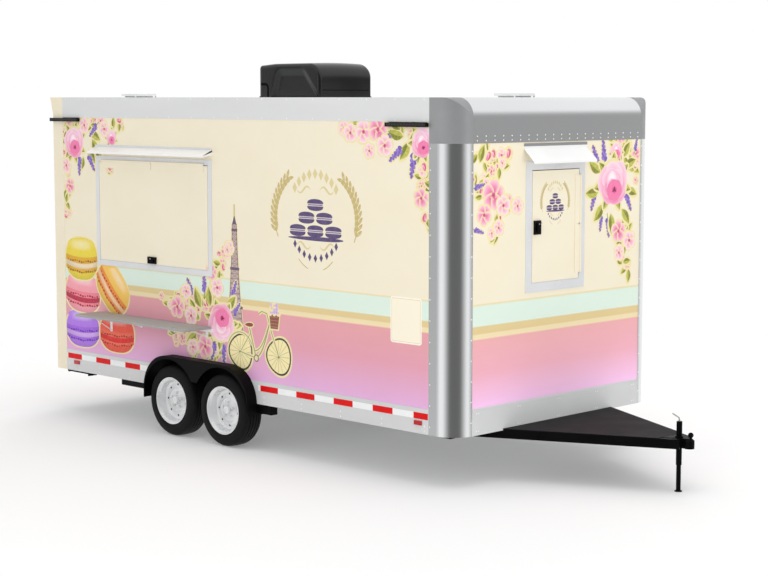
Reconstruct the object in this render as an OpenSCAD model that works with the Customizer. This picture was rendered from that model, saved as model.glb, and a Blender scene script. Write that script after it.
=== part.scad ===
// Tandem-axle food concession trailer: box body on a steel frame, with an A-frame tongue at +X.
// Origin at the centre of the hitch ball in the coupler, +X forwards, +Y to the left, +Z up.

/* [Body] */
// Length of the box body
body_len = 4880; // [4000:10:6000]
// Width across the wall skins
body_w = 2340; // [2100:10:2500]
// Height from the lower edge of the skirt to the top of the roof
body_h = 2440; // [2250:10:2700]
// Thickness of the sandwich walls
wall_t = 45; // [30:1:60]
// Thickness of the floor deck
floor_t = 40; // [25:1:60]
// Thickness of the roof panel
roof_t = 50; // [35:1:70]
// Thickness of the aluminium trim sheet
trim_t = 3; // [2:0.5:5]
// Height of the skirt
skirt_h = 187; // [120:1:260]
// Height of the side rails under the roof
rail_h = 173; // [100:1:220]
// Outer radius of the front corner posts
post_r = 184; // [182:1:260]
// Width of a front corner post on the side wall
post_side = 260; // [240:1:320]
// Width of a front corner post on the front wall
post_front = 179; // [170:1:240]
// Width of a rear corner post
rear_post_w = 140; // [80:1:200]
// Radius of the nosing between roof and front wall
nose_r = 141; // [90:1:180]
// Height of the nosing cap down the front wall
cap_h = 325; // [260:1:400]
// Height of the flared header above the rear wall
header_h = 150; // [100:1:220]
// Reach of the rear header beyond the rear wall
header_out = 42; // [15:1:80]

/* [Stance] */
// Height of the skirt's lower edge above the ground
skirt_clear = 386; // [350:1:450]
// Height of the ball centre above the ground
ball_height = 348; // [330:1:420]
// Distance from the front wall to the ball centre
tongue_reach = 1205; // [1000:5:1500]

/* [Serving hatch] */
// Width of the serving opening
serve_w = 1476; // [1000:1:1800]
// Height of the serving opening
serve_h = 862; // [600:1:1000]
// Sill of the serving opening above the skirt's lower edge
serve_sill = 1030; // [950:1:1150]
// Distance from the front wall to the middle of the serving opening
serve_back = 3468; // [3000:1:3600]
// Width of the frame's face around the serving opening
serve_face = 46; // [25:1:80]
// Thickness of a hatch leaf
leaf_t = 28; // [18:1:36]
// Gap around a hatch or door leaf
leaf_gap = 6; // [5.5:0.5:12]
// Reach of the rain hoods
hood_out = 102; // [60:1:160]
// Drop of the serving hatch's rain hood from the wall to its edge
hood_drop = 43; // [20:1:60]

/* [Counter] */
// Length of the counter
shelf_len = 1500; // [1000:10:1800]
// Depth of the counter
shelf_d = 292; // [200:1:350]
// Thickness of the counter
shelf_t = 20; // [15:1:40]
// Height of the counter top above the skirt's lower edge
shelf_z = 574; // [450:1:600]
// Height of a counter bracket on the wall
bracket_h = 130; // [90:1:180]

/* [Front hatch] */
// Width of the front opening
front_w = 559; // [400:1:700]
// Height of the front opening
front_h = 842; // [600:1:950]
// Sill of the front opening above the skirt's lower edge
front_sill = 1066; // [1000:1:1150]
// Offset of the front opening from the centreline
front_y = -62; // [-200:1:200]
// Width of the frame's face around the front opening
front_face = 68; // [30:1:90]
// Drop of the front hatch's rain hood from the wall to its edge
front_hood_drop = 91; // [60:1:110]

/* [Rear door] */
// Width of the door opening
door_w = 820; // [600:1:1000]
// Height of the door opening
door_h = 1950; // [1700:1:2000]
// Width of the face of the door frame
door_face = 40; // [30:1:45]

/* [Frame] */
// Height of the floor frame's tubes
tube_h = 50; // [40:1:70]
// Width of the frame's tubes
tube_w = 50; // [40:1:60]
// Height of the main beams under the floor frame
beam_h = 50; // [40:1:80]
// Outer face of the main beams from the centreline
beam_y = 985; // [900:1:990]
// Distance from the front wall to the front end of the main beams
beam_front = 214; // [150:1:300]
// Distance from the front wall to the rear end of the main beams
beam_rear = 4110; // [3800:10:4400]
// Number of cross members between the two end members
cross_count = 10; // [6:1:14]
// Height of the tongue beams
tongue_h = 70; // [60:1:80]
// Width of the tongue beams
tongue_w = 50; // [40:1:60]
// Half of the angle between the tongue beams
tongue_angle = 26; // [22:1:28]
// Thickness of the tongue deck
deck_t = 4; // [3:0.5:8]

/* [Jack] */
// Distance from the ball back to the jack
jack_back = 90; // [80:1:110]
// Outer diameter of the jack's tube
jack_d = 42; // [36:1:60]
// Outer diameter of the jack's drop leg
leg_d = 34; // [28:1:36]
// Diameter of the jack's foot
foot_d = 56; // [46:1:150]
// Top of the jack above the skirt's lower edge
jack_top = 127; // [110:1:200]
// Bottom of the jack's tube below the skirt's lower edge
jack_low = 190; // [150:1:230]

/* [Coupler] */
// Diameter of the hitch ball
ball_d = 50.8; // [47.6:0.1:58.7]
// Radial gap around the hitch ball
ball_gap = 0.4; // [0.2:0.1:0.5]
// Wall of the coupler around the ball
coupler_wall = 10; // [6:0.5:14]
// Diameter of the clamp knob
knob_d = 40; // [30:1:60]

/* [Wheels] */
// Outer diameter of a tyre
tyre_d = 596; // [560:1:640]
// Width of a tyre
tyre_w = 185; // [155:1:205]
// Diameter of the rim at its bead seats
rim_d = 356; // [330:1:382]
// Diameter of the rim's flanges
flange_d = 396; // [392:1:400]
// Distance of a tyre's outer face outside the wall
tyre_out = 80; // [70:1:95]
// Distance from the front wall to the middle of the tandem
tandem_back = 2817; // [2700:1:3300]
// Distance between the axles
axle_gap = 666; // [660:1:690]
// Diameter of an axle spindle
spindle_d = 40; // [32:1:50]
// Side of an axle's square tube
axle_tube = 60; // [50:1:70]
// Distance from an axle tube back to its spindles
arm_len = 110; // [95:1:130]
// Radial running gap of a hub on its spindle
hub_gap = 0.05; // [0.02:0.01:0.1]

/* [Fenders] */
// Half length of a fender
fender_half = 672; // [655:1:700]
// Top of the fender above the skirt's lower edge
fender_top = 290; // [270:1:330]
// Lower end of the fender below the skirt's lower edge
fender_low = 92; // [60:1:150]
// Corner radius of the fender
fender_r = 300; // [200:1:330]
// Distance of the fender's outer face outside the wall
fender_out = 105; // [100:1:140]
// Distance of the fender's inner face inside the wall
fender_in = 170; // [165:1:180]
// Sheet thickness of the fender
fender_t = 3; // [2:0.5:5]
// Radius of the wheel arches in the fender's outer skirt
arch_r = 355; // [340:1:370]
// Lower tip of the skirt between the wheels, above the trailer skirt's lower edge
fender_dip = 108; // [60:1:160]

/* [Roof gear] */
// Length of the air conditioner
ac_len = 760; // [600:10:1000]
// Width of the air conditioner
ac_w = 615; // [500:5:750]
// Height of the air conditioner
ac_h = 293; // [200:1:350]
// Distance from the front wall to the middle of the air conditioner
ac_back = 2700; // [2200:10:3000]
// Side of a roof vent's lid
vent_w = 222; // [180:1:360]
// Height of a closed roof vent
vent_h = 34; // [25:1:60]
// Distance from the front wall to the middle of the front roof vent
vent_front = 465; // [350:5:900]
// Distance from the rear wall to the middle of the rear roof vent
vent_rear = 374; // [300:5:800]
// Offset of the rear roof vent from the centreline
vent_side = -500; // [-700:10:700]

/* [Lights] */
// Length of a light bar
bar_len = 420; // [300:10:600]
// Height of a light bar
bar_h = 34; // [25:1:50]
// Reach of a light bar from the wall
bar_out = 30; // [20:1:60]
// Distance from the front wall to the front light bar
bar_front = 262; // [262:1:500]
// Reach of the rear light bar past the rear wall
bar_past = 20; // [0:1:40]

/* [Stabilisers] */
// Length of a stabiliser leg from pivot to foot
prop_len = 330; // [250:1:335]
// Diameter of a stabiliser's pivot pin
prop_pin_d = 16; // [12:1:20]

/* [Hidden] */
$fn = 96;
EPS = 0.01;
front_x = -tongue_reach;
ground = -skirt_clear;              // ground level in the body's frame
skirt_z = skirt_clear - ball_height;
half_w = body_w / 2;
skin_y = half_w + trim_t;           // outer face of the trim
floor_top = tube_h + floor_t;
roof_low = body_h - roof_t;
post_top = body_h - cap_h;
inner_y = half_w - wall_t;

serve_x = -serve_back;
serve_z = serve_sill + serve_h / 2;
front_z = front_sill + front_h / 2;
flange_t = 6;                       // how far the frames stand proud of the walls
jamb_t = 3;                         // thickness of a frame's lining
knuckle_d = 14;                     // knuckles of the hatch, door and counter hinges
hinge_pin_d = 8;
pin_gap = 0.1;                      // radial gap between a hinge pin and its knuckle
hinge_out = flange_t + 8;           // hinge line outside the wall
hinge_up = 8;                       // hinge line past the edge of the opening
ear_t = 8;
ear_in = 40;                        // first and last ear in from the ends of an opening
strap_h = 55;                       // hinge strap down the face of a leaf
seat = 0.4;                         // gap where the fender passes through the wall and floor
door_floor = floor_top + 12;        // underside of the door opening

axle_z = ground + tyre_d / 2;
tyre_mid_y = half_w + tyre_out - tyre_w / 2;
tyre_in_y = half_w + tyre_out - tyre_w;
axles_x = [-tandem_back + axle_gap / 2, -tandem_back - axle_gap / 2];
fender_outer = half_w + fender_out;
fender_inner = half_w - fender_in;
arm_t = 32;
arm_y = fender_inner + fender_t + 8;
tube_z = -beam_h - axle_tube / 2;            // axle tubes hang under the main beams
hub_in_y = arm_y + arm_t + 3;
spindle_end = tyre_mid_y + 30;

ball_z = ball_height - skirt_clear;          // ball centre in the body's frame
ball_r = ball_d / 2 + ball_gap;
coupler_r = ball_r + coupler_wall;
tongue_top = 10;
tongue_low = tongue_top - tongue_h;
jack_x = tongue_reach - jack_back;
slope = tan(tongue_angle);
apex_x = tongue_reach - 45;                  // where the beams end, beside the coupler's shank
shank_w = 2 * (jack_d / 2 + 8);
beam_end_y = shank_w / 2 + tongue_w / 2 / cos(tongue_angle);
tongue_len = (beam_y - tube_w - beam_end_y) / sin(tongue_angle);

// Body frame: x = 0 on the front wall's face, y = 0 on the centreline, z = 0 at the skirt's lower edge.
module place() translate([front_x, 0, skirt_z]) children();

// Box between two opposite corners.
module box(lo, hi) translate(lo) cube(hi - lo);

module both_sides() {
    children();
    mirror([0, 1, 0]) children();
}

// Profile in x and z, drawn as a 2D shape and extruded between two values of y.
module along_y(y0, y1) translate([0, y1, 0]) rotate([90, 0, 0]) linear_extrude(y1 - y0) children();

// Plan of the body with its two rounded front corners, grown by g.
module plan_shape(g) {
    translate([-body_len, -half_w - g]) square([body_len - post_r, body_w + 2 * g]);
    translate([-post_r - 1, -half_w + post_r]) square([post_r + 1 + g, body_w - 2 * post_r]);
    for (s = [-1, 1]) translate([-post_r, s * (half_w - post_r)]) circle(post_r + g);
}

// Side view of the body with the nosing at its front upper edge, grown by g.
module nosing_shape(g) {
    translate([-body_len, -1]) square([body_len - nose_r, body_h + 1 + g]);
    translate([-nose_r - 1, -1]) square([nose_r + 1 + g, body_h + 1 - nose_r]);
    translate([-nose_r, body_h - nose_r]) circle(nose_r + g);
}

// Solid outer shape of the body, grown by g.
module envelope(g) intersection() {
    translate([0, 0, -1]) linear_extrude(body_h + 10) plan_shape(g);
    along_y(-half_w - 10, half_w + 10) nosing_shape(g);
}

// Side view of a fender, grown by g.
module fender_shape(g) translate([-tandem_back, 0]) intersection() {
    flat = fender_half - fender_r;
    union() {
        translate([-flat, -fender_low]) square([2 * flat, fender_low + fender_top + g]);
        translate([-fender_half - g, -fender_low])
            square([2 * (fender_half + g), fender_low + fender_top - fender_r]);
        for (s = [-1, 1]) translate([s * flat, fender_top - fender_r]) circle(fender_r + g);
    }
    translate([-body_len, -fender_low]) square([2 * body_len, body_h]);
}

// ---- steel frame ----

module main_beams() place() color("#1b1b1c") both_sides()
    box([-beam_rear, beam_y - tube_w, -beam_h], [-beam_front, beam_y, 0]);

// Floor frame plan, cut to the body's rounded corners.
module frame_plan() intersection() {
    children();
    translate([0, 0, -1]) linear_extrude(tube_h + 2) plan_shape(0);
}

module cross_members() place() color("#1b1b1c") frame_plan() {
    reach = half_w - tube_w;
    pitch = (body_len - tube_w) / (cross_count + 1);
    for (i = [0 : cross_count + 1]) {
        x = -i * pitch;
        beside = abs(x - tube_w / 2 + tandem_back) < fender_half + tube_w;
        y = beside ? fender_inner - seat : reach;
        box([x - tube_w, -y, 0], [x, y, tube_h]);
    }
}

module side_channels() place() color("#1b1b1c") both_sides() frame_plan() {
    box([-tandem_back + fender_half + seat, half_w - tube_w, 0], [0, half_w, tube_h]);
    box([-body_len, half_w - tube_w, 0], [-tandem_back - fender_half - seat, half_w, tube_h]);
}

module tongue_beam() translate([apex_x, beam_end_y, tongue_low])
    rotate([0, 0, 180 - tongue_angle]) translate([0, -tongue_w / 2, 0])
        difference() {
            cube([tongue_len, tongue_w, tongue_h]);
            translate([0, 0, 0]) rotate([0, 0, tongue_angle])
                translate([-tongue_w, -tongue_w, -1]) cube([tongue_w, 3 * tongue_w, tongue_h + 2]);
        }

module tongue_beams() place() color("#101011") both_sides() difference() {
    tongue_beam();
    // under the body the beams pass below the skirt and the floor frame
    box([-body_len, 0, -EPS], [trim_t, half_w, tongue_top + 1]);
    // and end against the main beams
    box([-body_len, beam_y - tube_w - EPS, -body_h], [0, half_w + 200, body_h]);
}

// Half width between the tongue beams' inner faces at x.
function throat(x) = shank_w / 2 + slope * (apex_x - x);
coupler_back = jack_x - jack_d / 2 - 60;
dome_h = 14;                         // bevelled crown of the ball socket
knob_stem_d = 18;
knob_x = tongue_reach + 10;

module tongue_deck() place() color("#303031") {
    over = tongue_w / cos(tongue_angle);
    x1 = coupler_back - 2;
    y0 = throat(trim_t) + over;
    y1 = throat(x1) + over;
    translate([0, 0, tongue_top]) linear_extrude(deck_t)
        polygon([[trim_t, -y0], [x1, -y1], [x1, y1], [trim_t, y0]]);
}

module coupler() place() color("#0d0d0e") difference() {
    union() {
        // wedge welded between the two beams
        translate([0, 0, tongue_low]) linear_extrude(tongue_h + 3) polygon([
            [coupler_back, -throat(coupler_back)], [apex_x, -shank_w / 2], [tongue_reach, -shank_w / 2],
            [tongue_reach, shank_w / 2], [apex_x, shank_w / 2], [coupler_back, throat(coupler_back)]
        ]);
        translate([tongue_reach, 0, tongue_low]) cylinder(r = coupler_r, h = tongue_h - dome_h + 2);
        translate([tongue_reach, 0, tongue_top - dome_h + 2])
            cylinder(r1 = coupler_r, r2 = coupler_r - dome_h, h = dome_h);
        translate([knob_x, 0, tongue_top]) cylinder(d = knob_stem_d, h = knob_d / 2 + 8);
        translate([knob_x, 0, tongue_top + knob_d / 2 + 8]) sphere(d = knob_d);
    }
    translate([tongue_reach, 0, tongue_low - 10]) cylinder(r = ball_r, h = ball_z - tongue_low + 10);
    translate([tongue_reach, 0, ball_z]) sphere(r = ball_r);
    // seat of the jack's tube
    translate([jack_x, 0, -100]) cylinder(d = jack_d + 0.4, h = 200);
}

jack_collar_d = jack_d + 18;
jack_collar_h = 8;
foot_t = 6;
crank_d = 9;
crank_hub_h = 10;
module jack_tube() place() color("#0d0d0e") translate([jack_x, 0, 0]) {
    difference() {
        translate([0, 0, -jack_low]) cylinder(d = jack_d, h = jack_low + jack_top);
        translate([0, 0, -jack_low - 1]) cylinder(d = leg_d + 1, h = jack_low + jack_top - 5);
    }
    // collar that rests on the coupler's shank
    translate([0, 0, tongue_top + 3]) difference() {
        cylinder(d = jack_collar_d, h = jack_collar_h);
        translate([0, 0, -1]) cylinder(d = jack_d - 1, h = jack_collar_h + 2);
    }
}

module jack_leg() place() color("#151516") translate([jack_x, 0, ground]) {
    translate([0, 0, foot_t]) cylinder(d = leg_d, h = skirt_clear - jack_low + 100 - foot_t);
    cylinder(d = foot_d, h = foot_t + EPS);
}

module jack_crank() place() color("#b9babd") translate([jack_x, 0, jack_top]) {
    cylinder(d = crank_d + 5, h = crank_hub_h);
    translate([0, 0, crank_hub_h]) rotate([0, -18, 0]) cylinder(d = crank_d, h = 20);
    translate([-6, 0, crank_hub_h + 18]) rotate([0, -68, 0]) cylinder(d = crank_d, h = 60);
}

// ---- body shell ----

module floor_deck() place() color("#c9cacb") difference() {
    intersection() {
        box([-body_len, -half_w, tube_h], [0, half_w, floor_top]);
        envelope(0);
    }
    both_sides() box([-tandem_back - fender_half - seat, fender_inner - seat, 0],
        [-tandem_back + fender_half + seat, half_w + 1, floor_top + 1]);
}

module roof_panel() place() color("#e4e5e6") difference() {
    intersection() {
        box([-body_len, -half_w, roof_low], [0, half_w, body_h]);
        envelope(0);
    }
    for (v = vents) translate([v[0] - vent_hole / 2, v[1] - vent_hole / 2, roof_low - 1])
        cube([vent_hole, vent_hole, roof_t + 2]);
}

module side_wall() intersection() {
    box([-body_len, inner_y, floor_top], [0, half_w, roof_low]);
    envelope(0);
}

module wheel_cut() along_y(inner_y - 1, half_w + 20) fender_shape(seat);

module left_wall() place() color("#f0e4ca") difference() {
    side_wall();
    wheel_cut();
}

module right_wall() place() color("#f0e4ca") difference() {
    mirror([0, 1, 0]) difference() {
        side_wall();
        wheel_cut();
    }
    box([serve_x - serve_w / 2 - jamb_t, -half_w - 1, serve_sill - jamb_t],
        [serve_x + serve_w / 2 + jamb_t, -inner_y + 1, serve_sill + serve_h + jamb_t]);
}

module front_wall() place() color("#f0e4ca") difference() {
    intersection() {
        box([-wall_t, -inner_y, floor_top], [0, inner_y, roof_low]);
        envelope(0);
    }
    box([-wall_t - 1, front_y - front_w / 2 - jamb_t, front_sill - jamb_t],
        [1, front_y + front_w / 2 + jamb_t, front_sill + front_h + jamb_t]);
}

module rear_wall() place() color("#f0e4ca") difference() {
    box([-body_len, -inner_y, floor_top], [-body_len + wall_t, inner_y, roof_low]);
    box([-body_len - 1, -door_w / 2 - jamb_t, door_floor - jamb_t],
        [-body_len + wall_t + 1, door_w / 2 + jamb_t, door_floor + door_h + jamb_t]);
}

// ---- aluminium trim ----

module corner_posts() place() color("#b4b6b8") both_sides() intersection() {
    difference() {
        linear_extrude(post_top) plan_shape(trim_t);
        translate([0, 0, -1]) linear_extrude(post_top + 2) plan_shape(0);
    }
    box([-post_side, half_w - post_front, 0], [20, half_w + 20, post_top]);
}

module front_cap() place() color("#bcbdbf") intersection() {
    along_y(-half_w + post_front, half_w - post_front) difference() {
        nosing_shape(trim_t);
        nosing_shape(0);
    }
    box([-post_side, -half_w, post_top], [20, half_w, body_h + 20]);
}

module corner_caps() place() color("#a2a4a6") both_sides() intersection() {
    difference() {
        envelope(trim_t);
        envelope(0);
    }
    box([-post_side, half_w - post_front, post_top], [20, half_w + 20, body_h + 20]);
}

module top_rails() place() color("#d8dadb") both_sides() {
    box([-body_len + rear_post_w, half_w, body_h - rail_h], [-post_side, skin_y, body_h + trim_t]);
    box([-body_len + rear_post_w, half_w - 60, body_h], [-post_side, half_w + 1, body_h + trim_t]);
}

module rear_posts() place() color("#efe3c8") both_sides() {
    box([-body_len - trim_t, half_w, 0], [-body_len + rear_post_w, skin_y, body_h + trim_t]);
    box([-body_len - trim_t, half_w - rear_post_w, 0], [-body_len, skin_y, body_h - header_h]);
}

module rear_header() place() color("#efe3c8") {
    // flare, as wide as the trim
    along_y(-skin_y, skin_y) polygon([
        [-body_len - trim_t, body_h - header_h], [-body_len - header_out, body_h],
        [-body_len - header_out, body_h + trim_t], [-body_len - trim_t, body_h + trim_t]
    ]);
    // strip down the wall and over the roof's rear edge
    along_y(-half_w, half_w) difference() {
        translate([-body_len - trim_t - 1, body_h - header_h])
            square([rear_post_w + trim_t + 1, header_h + trim_t]);
        translate([-body_len, body_h - header_h - 1]) square([body_len, header_h + 1]);
    }
}

module skirts() place() color("#cfd1d2") {
    both_sides() difference() {
        box([-body_len + rear_post_w, half_w, 0], [-post_side, skin_y, skirt_h]);
        wheel_cut();
    }
    box([0, -half_w + post_front, 0], [trim_t, half_w - post_front, skirt_h]);
    box([-body_len - trim_t, -half_w + rear_post_w, 0],
        [-body_len, half_w - rear_post_w, door_floor - door_face - 2]);
}

// ---- hatches and door ----

// Each opening is drawn about its middle, with the outer side at -y and the hinge along its upper edge.
// Hinge barrel from x0 to x1.
module barrel(x0, x1, d, edge) translate([x0, -hinge_out, edge + hinge_up]) rotate([0, 90, 0])
    cylinder(d = d, h = x1 - x0);

// Places of the three ears that carry the hinge pin.
function ears(w) = [-w / 2 + ear_in, -ear_t / 2, w / 2 - ear_in - ear_t];

// Frame: a sheet flange on the wall, a lining through the wall, and the hinge's ears and pin.
module opening_frame(w, h, face) {
    difference() {
        union() {
            box([-w / 2 - face, -flange_t, -h / 2 - face], [w / 2 + face, 0, h / 2 + face]);
            box([-w / 2 - jamb_t, -flange_t, -h / 2 - jamb_t], [w / 2 + jamb_t, wall_t, h / 2 + jamb_t]);
        }
        box([-w / 2, -flange_t - 1, -h / 2], [w / 2, wall_t + 1, h / 2]);
    }
    for (x = ears(w)) {
        barrel(x, x + ear_t, knuckle_d, h / 2);
        box([x, -hinge_out, h / 2 + hinge_up - 5], [x + ear_t, -flange_t + 1, h / 2 + hinge_up + 5]);
    }
    barrel(ears(w)[0], ears(w)[2] + ear_t, hinge_pin_d, h / 2);
}

// Leaf: fills the opening with a gap all round, its outer face level with the flange, and hangs on the pin.
module opening_leaf(w, h) {
    box([-w / 2 + leaf_gap, -flange_t, -h / 2 + leaf_gap],
        [w / 2 - leaf_gap, leaf_t - flange_t, h / 2 - leaf_gap]);
    for (i = [0, 1]) {
        x0 = ears(w)[i] + ear_t + 1;
        x1 = ears(w)[i + 1] - 1;
        difference() {
            union() {
                barrel(x0, x1, knuckle_d, h / 2);
                box([x0, -flange_t - 6, h / 2 - strap_h], [x1, -flange_t - 1, h / 2 + hinge_up]);
                box([x0, -flange_t - 2, h / 2 - strap_h], [x1, -flange_t + 1, h / 2 - leaf_gap - 2]);
            }
            barrel(x0 - 1, x1 + 1, hinge_pin_d + 2 * pin_gap, h / 2);
        }
    }
}

// Sloping rain hood, its upper edge on the wall at z = 0, outer side at -y.
module rain_hood(w, drop) rotate([90, 0, 90]) translate([0, 0, -w / 2]) linear_extrude(w) polygon([
    [0, 22], [-4, 22], [-4, 3], [-hood_out, -drop], [-hood_out, -drop - 14],
    [-hood_out + 3, -drop - 14], [-hood_out + 3, -drop - 1], [-4, -1], [0, -1]
]);

module serving_at() place() translate([serve_x, -half_w, serve_z]) children();

// The front hatch and the door hang on their side edges, so the hinge edge is turned to the side.
module front_at() place() translate([0, front_y, front_z]) rotate([0, 0, 90]) rotate([0, 90, 0]) children();

module door_at() place() translate([-body_len, 0, door_floor + door_h / 2])
    rotate([0, 0, -90]) rotate([0, -90, 0]) children();

module serving_frame() serving_at() color("#c6c8cb") opening_frame(serve_w, serve_h, serve_face);

module serving_hatch() serving_at() color("#f0e4ca") opening_leaf(serve_w, serve_h);

// Square lock plate with a grip, facing -y.
module lock_plate(w, h) {
    box([-w / 2, -flange_t - 14, -h / 2], [w / 2, -flange_t, h / 2]);
    box([-w / 2 + 20, -flange_t - 26, -9], [w / 2 - 20, -flange_t - 13, 9]);
}

module serving_latch() serving_at() color("#111112")
    translate([0, 0, -serve_h / 2 + 40]) lock_plate(110, 58);

hood_z = serve_sill + serve_h + serve_face + 60;
module serving_hood() place() color("#f3f3f3") translate([serve_x, -half_w, hood_z])
    rain_hood(serve_w + 2 * serve_face + 10, hood_drop);

module front_frame() front_at() color("#c6c8cb") opening_frame(front_h, front_w, front_face);

module front_hatch() front_at() color("#f0e4ca") opening_leaf(front_h, front_w);

module front_latch() front_at() color("#111112")
    translate([6, 0, -front_w / 2 + 55]) lock_plate(104, 74);

front_hood_z = front_sill + front_h + front_face + 87;
module front_hood() place() color("#f3f3f3") translate([0, front_y, front_hood_z])
    rotate([0, 0, 90]) rain_hood(front_w + 2 * front_face + 46, front_hood_drop);

module door_frame() door_at() color("#c6c8cb") opening_frame(door_h, door_w, door_face);

module rear_door() door_at() color("#efe3c8") opening_leaf(door_h, door_w);

module door_handle() door_at() color("#1a1a1b") translate([-60, 0, -door_w / 2 + 70]) {
    box([-70, -flange_t - 12, -28], [70, -flange_t, 28]);
    box([-8, -flange_t - 46, -8], [8, -flange_t - 11, 8]);
    box([-8, -flange_t - 46, -8], [8, -flange_t - 32, 96]);
}

// ---- counter ----

shelf_pin_y = 12;                   // hinge line of the counter outside the wall
shelf_pin_z = shelf_z - knuckle_d / 2;
shelf_x0 = serve_x - shelf_len / 2 + 25;
shelf_ears = [20, shelf_len / 2 - ear_t / 2, shelf_len - 20 - ear_t];

module shelf_barrel(x0, x1, d) translate([shelf_x0 + x0, -half_w - shelf_pin_y, shelf_pin_z])
    rotate([0, 90, 0]) cylinder(d = d, h = x1 - x0);

module serving_shelf() place() color("#9c9a98") {
    y1 = -half_w - shelf_pin_y - knuckle_d / 2 - 1;
    box([shelf_x0, -half_w - shelf_d, shelf_z - shelf_t], [shelf_x0 + shelf_len, y1, shelf_z]);
    for (i = [0, 1]) difference() {
        x0 = shelf_ears[i] + ear_t + 1;
        x1 = shelf_ears[i + 1] - 1;
        union() {
            shelf_barrel(x0, x1, knuckle_d);
            box([shelf_x0 + x0, y1 - 1, shelf_z - knuckle_d],
                [shelf_x0 + x1, -half_w - shelf_pin_y, shelf_z]);
        }
        shelf_barrel(x0 - 1, x1 + 1, hinge_pin_d + 2 * pin_gap);
    }
}

module shelf_brackets() place() color("#dcdddf") {
    // hinge rail on the wall with its ears and pin
    box([shelf_x0, -half_w - 3, shelf_z - shelf_t - 30], [shelf_x0 + shelf_len, -half_w, shelf_z + 4]);
    for (x = shelf_ears) {
        shelf_barrel(x, x + ear_t, knuckle_d);
        box([shelf_x0 + x, -half_w - shelf_pin_y, shelf_pin_z - knuckle_d / 2],
            [shelf_x0 + x + ear_t, -half_w - 2, shelf_pin_z + knuckle_d / 2]);
    }
    shelf_barrel(shelf_ears[0], shelf_ears[2] + ear_t, hinge_pin_d);
    // two knee brackets that the counter rests on
    for (x = [shelf_len * 0.09, shelf_len * 0.91])
        translate([shelf_x0 + x + 12, -half_w, shelf_z - shelf_t - 0.3])
            rotate([90, 0, -90]) linear_extrude(24) polygon([
                [0, 0], [shelf_d * 0.7, 0], [shelf_d * 0.7, -16], [24, -bracket_h + 20],
                [24, -bracket_h], [0, -bracket_h]
            ]);
}

// ---- running gear ----

module fender() {
    along_y(fender_inner, fender_outer) difference() {
        fender_shape(0);
        fender_shape(-fender_t);
    }
    // back plate, open below for the axles
    along_y(fender_inner, fender_inner + fender_t) intersection() {
        fender_shape(-fender_t / 2);
        translate([-body_len, -20]) square([body_len, body_h]);
    }
    // outer skirt with the two wheel arches
    along_y(fender_outer - fender_t, fender_outer) difference() {
        intersection() {
            fender_shape(-fender_t / 2);
            translate([-body_len, fender_dip]) square([body_len, body_h]);
        }
        for (x = axles_x) translate([x, axle_z]) circle(arch_r);
    }
}

module fenders() place() color("#0b0b0c") both_sides() fender();

module spindle(x, s) translate([x, s * (arm_y + 1), axle_z]) rotate([-90 * s, 0, 0])
    cylinder(d = spindle_d, h = spindle_end - arm_y - 1);

// Side view of a trailing arm, from the spindle forward to the tube.
module arm_shape() {
    rise = axle_z - tube_z;
    circle(d = spindle_d + 20);
    translate([arm_len, -rise]) circle(d = axle_tube - 4);
    rotate(-atan2(rise, arm_len)) translate([0, -20]) square([norm([arm_len, rise]), 40]);
}

module axle(x) {
    // square tube under the main beams
    box([x + arm_len - axle_tube / 2, -arm_y - 1, tube_z - axle_tube / 2],
        [x + arm_len + axle_tube / 2, arm_y + 1, tube_z + axle_tube / 2]);
    for (s = [-1, 1]) {
        spindle(x, s);
        translate([x, s > 0 ? arm_y : -arm_y - arm_t, axle_z]) along_y(0, arm_t) arm_shape();
    }
}

module axles() place() color("#151516") for (x = axles_x) axle(x);

// Tyre section: bead, sidewall, shoulder and crowned tread, drawn as [radius, offset].
module tyre_section() {
    seat = rim_d / 2;
    top = tyre_d / 2;
    side = tyre_w / 2;
    polygon([
        [seat, -side + 18], [seat + 24, -side + 6], [seat + 52, -side], [top - 42, -side + 3],
        [top - 18, -side + 10], [top - 5, -side + 20], [top - 1, -side + 34], [top, 0],
        [top - 1, side - 34], [top - 5, side - 20], [top - 18, side - 10], [top - 42, side - 3],
        [seat + 52, side], [seat + 24, side - 6], [seat, side - 18]
    ]);
}

// Rim section: barrel, flanges, dished disc and hub with its grease cap.
module rim_section() {
    seat = rim_d / 2;
    lip = flange_d / 2;
    side = tyre_w / 2 - 18;
    bore = spindle_d / 2 + hub_gap;
    hub_r = bore + 34;
    hub_in = hub_in_y - tyre_mid_y;
    edge = [[seat - 6, side + 6], [lip - 2, side + 17], [lip, side + 14], [lip - 4, side + 10], [seat, side]];
    last = len(edge) - 1;
    inner_edge = [for (i = [0 : last]) [edge[last - i][0], -edge[last - i][1]]];
    disc = [[seat - 6, 6], [seat - 36, 22], [72, 26], [66, 36], [hub_r, 36], [hub_r, hub_in], [bore, hub_in],
        [bore, 34], [0, 34], [0, 60], [30, 60], [30, 44], [70, 44], [76, 34], [seat - 34, 30],
        [seat - 6, 14]];
    polygon(concat(edge, inner_edge, disc));
}

module wheel_at(x, s) place() translate([x, s * tyre_mid_y, axle_z]) rotate([-90 * s, 0, 0]) children();

module tyre(x, s) wheel_at(x, s) color("#222223") rotate_extrude() tyre_section();

module rim(x, s) wheel_at(x, s) color("#dfe1e2") rotate_extrude() rim_section();

module tyre_fr() tyre(axles_x[0], -1);
module tyre_fl() tyre(axles_x[0], 1);
module tyre_rr() tyre(axles_x[1], -1);
module tyre_rl() tyre(axles_x[1], 1);
module rim_fr() rim(axles_x[0], -1);
module rim_fl() rim(axles_x[0], 1);
module rim_rr() rim(axles_x[1], -1);
module rim_rl() rim(axles_x[1], 1);

// ---- roof gear ----

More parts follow.
